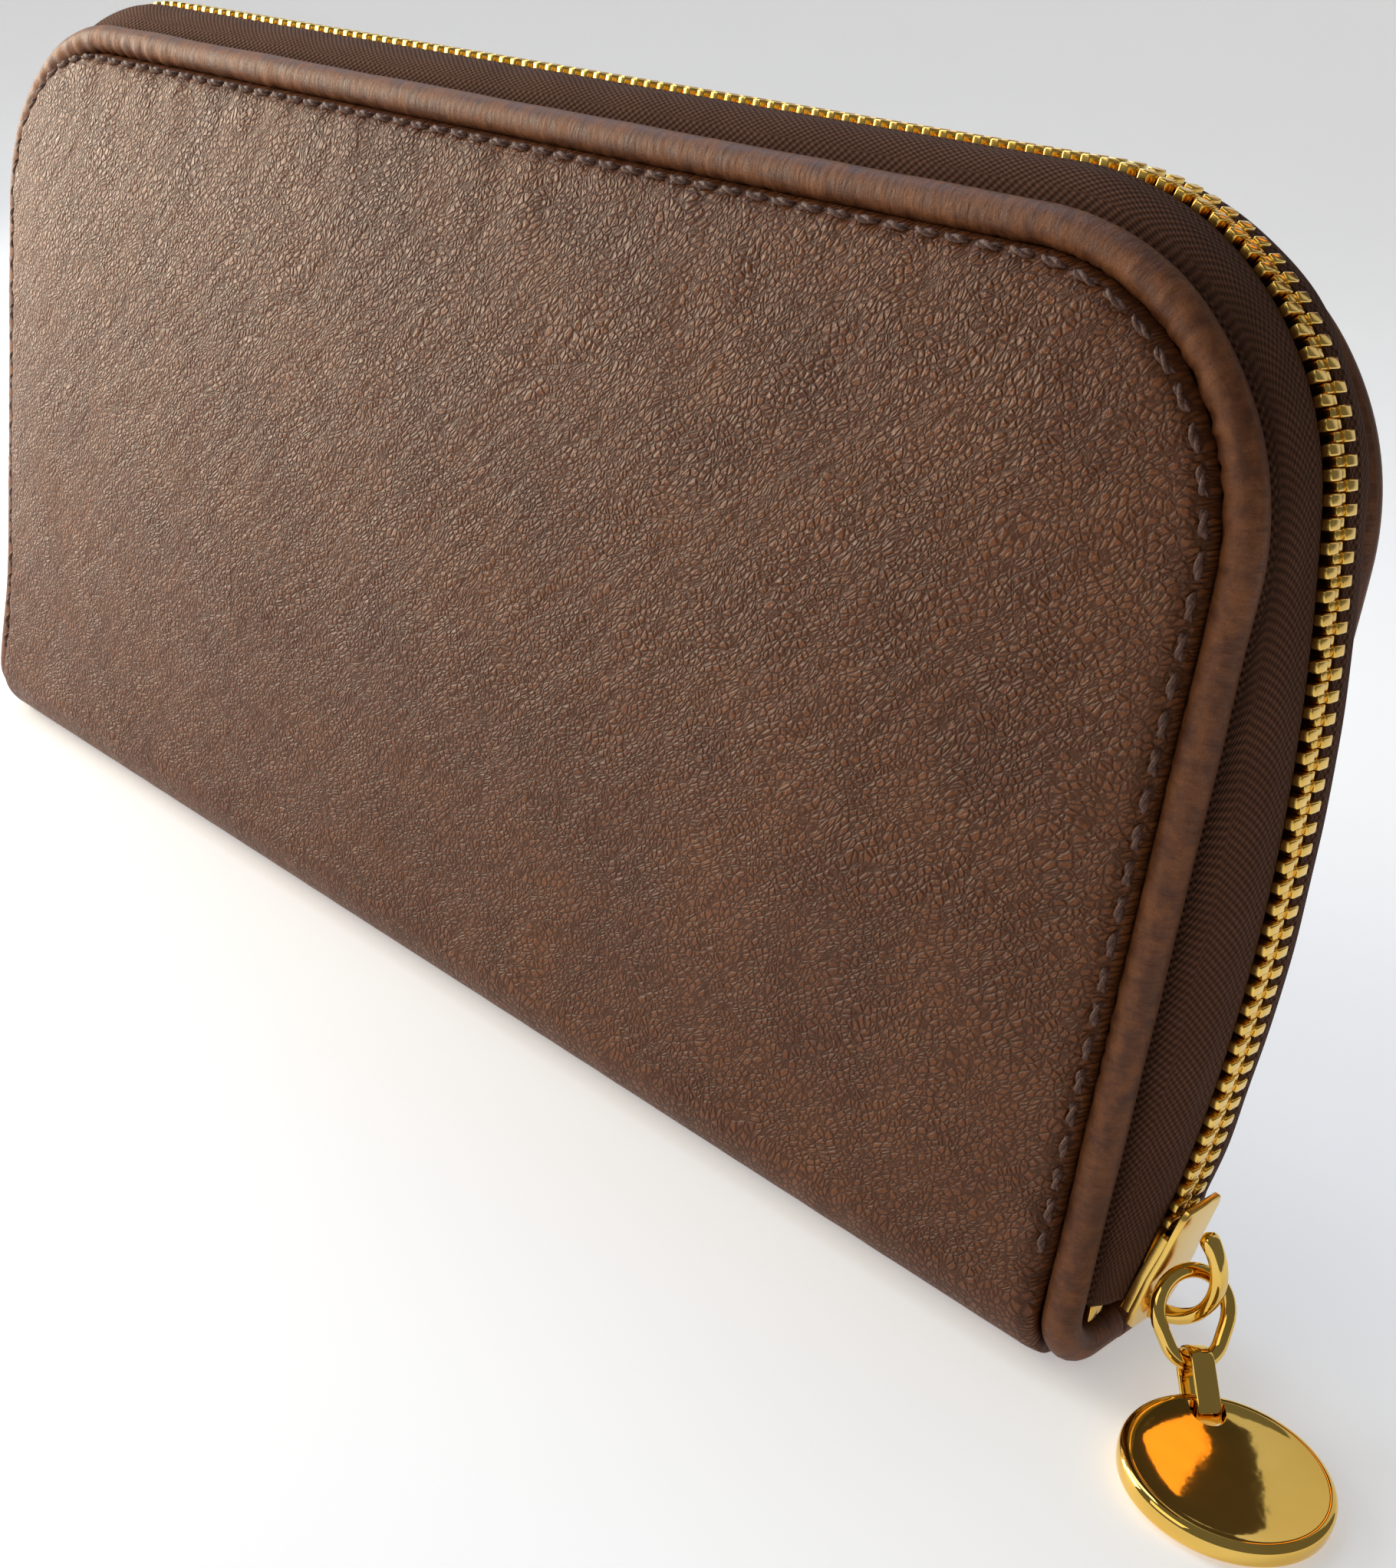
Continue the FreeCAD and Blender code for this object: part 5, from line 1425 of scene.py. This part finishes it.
def gusset(name, end):
    """A fan of cloth, folded twice, with a dipped upper edge."""
    low, high = span(f"{name}_gusset")
    folds = smooth_run(GUSSET_FOLDS + [(out, -depth) for out, depth in GUSSET_FOLDS[::-1]])
    heading = np.gradient(folds, axis=0)
    heading /= np.linalg.norm(heading, axis=1)[:, None]
    out = np.stack([heading[:, 1], -heading[:, 0]], 1)
    dip = GUSSET_DIP * (1 - (folds[:, 0] - 80) / 10)
    shares = np.linspace(0, 1, 40)[:, None]
    z = low[2] + (high[2] - dip[None, :] - low[2]) * shares
    faces = []
    for shift in (GUSSET_HALF, -GUSSET_HALF):
        x = end * (folds[:, 0] + out[:, 0] * shift)
        y = folds[:, 1] + out[:, 1] * shift
        faces.append(np.stack([np.tile(x, (len(z), 1)), np.tile(y, (len(z), 1)), z], -1))
    run = running(folds)
    flat = np.stack([np.tile(run, (len(z), 1)), z], -1)
    piece = fix_normals(sheet_solid(f"{name}_fan_gusset", faces[0], faces[1], flat))
    piece.data.materials.append(GUSSET)
    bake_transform(piece)
    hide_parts(f"{name}_gusset")


gusset("left", -1)
gusset("right", 1)


# ---------------------------------------------------------------- camera, light and floor

DARK_CARD = [(110, 150), (-19, 150), (-27, 240), (-8, 450), (100, 500)]
WARM_CARD = [(58, 285), (38, 420), (12, 340), (14, 215)]


def camera():
    """A view from the front right, a little above."""
    right = Vector((0.7063, 0.6955, 0.1321))
    up = Vector((-0.3413, 0.1712, 0.9242))
    back = Vector((0.6202, -0.6979, 0.3583))
    data = bpy.data.cameras.new("camera")
    data.lens = 44.35
    data.sensor_width = 36.0
    data.clip_start = 0.01
    data.clip_end = 20.0
    piece = bpy.data.objects.new("camera", data)
    turn = Matrix((right, up, back)).transposed().to_4x4()
    piece.matrix_world = Matrix.Translation(Vector((161.37, -142.81, 106.67)) * MM) @ turn
    bpy.context.scene.collection.objects.link(piece)
    bpy.context.scene.camera = piece


def lamp(name, spot, aim, size, power, tint=(1.0, 1.0, 1.0)):
    data = bpy.data.lights.new(name, "AREA")
    data.shape = "RECTANGLE"
    data.size, data.size_y = size
    data.energy = power
    data.color = tint
    piece = bpy.data.objects.new(name, data)
    piece.location = spot
    piece.visible_camera = False
    piece.rotation_euler = (Vector(aim) - Vector(spot)).to_track_quat("-Z", "Y").to_euler()
    bpy.context.scene.collection.objects.link(piece)


def floor():
    graph = Graph("pale_floor")
    speck = graph.noise(graph.solid(), 0.02, 2.0)
    graph.finish(graph.mix(speck, (0.86, 0.86, 0.86, 1), (0.9, 0.9, 0.9, 1)), 0.6,
                 Emission_Color=(1.0, 1.0, 1.0, 1.0), Emission_Strength=0.38)
    turn = np.linspace(0, math.pi / 2, 13)
    away = np.concatenate([[-1500.0, 900.0], 900 + 600 * np.sin(turn)[1:], [1500.0]])
    rise = np.concatenate([[0.0, 0.0], 600 - 600 * np.cos(turn)[1:], [2500.0]])
    back = np.array([-0.664, 0.748])
    aside = np.array([0.748, 0.664])
    rows = [[(*(back * distance + aside * reach), height) for distance, height in zip(away, rise)]
            for reach in (-3000.0, 3000.0)]
    piece = new_mesh("floor", np.array(rows).reshape(-1, 3), grid_faces(2, len(away)))
    piece.location.z = min(0.0, cad_low.z) - 0.00002
    piece.data.materials.append(graph.material)


def card(name, depth, corners, tint, glow):
    """A card above and behind, out of the camera's sight, for the polished disc to mirror."""
    graph = Graph(name)
    patchy = graph.noise(graph.solid(), 0.02, 2.0)
    shade = tuple(level * 0.7 for level in tint)
    graph.finish(graph.mix(patchy, (*shade, 1.0), (*tint, 1.0)), 0.9,
                 Emission_Color=(*tint, 1.0), Emission_Strength=glow)
    points = [(across, depth, height) for across, height in corners]
    piece = new_mesh(name, points, [tuple(range(len(points)))])
    piece.data.materials.append(graph.material)
    piece.visible_camera = False
    piece.visible_shadow = False


def world():
    made = bpy.data.worlds.new("studio")
    made.use_nodes = True
    background = made.node_tree.nodes["Background"]
    background.inputs["Color"].default_value = (1.0, 1.0, 1.0, 1)
    background.inputs["Strength"].default_value = 0.15
    bpy.context.scene.world = made


camera()
lamp("window", (-0.30, -0.15, 0.16), (-0.06, 0, 0.04), (0.18, 0.22), 1.05, (1.0, 0.92, 0.76))
lamp("low_window", (-0.60, -0.08, 0.09), (-0.08, 0, 0.05), (0.12, 0.26), 1.3, (1.0, 0.90, 0.70))
lamp("sky", (-0.35, 0.02, 0.62), (0, 0, 0.06), (0.45, 0.35), 1.9, (0.66, 0.80, 1.0))
lamp("front", (-0.15, -0.60, 0.45), (-0.02, 0, 0.04), (0.5, 0.4), 0.8, (1.0, 0.92, 0.80))
card("dark_card", 335, DARK_CARD, (0.05, 0.035, 0.02), 0.0)
card("warm_card", 325, WARM_CARD, (1.0, 0.42, 0.07), 0.8)
floor()
world()
bpy.context.scene.view_settings.view_transform = "Standard"
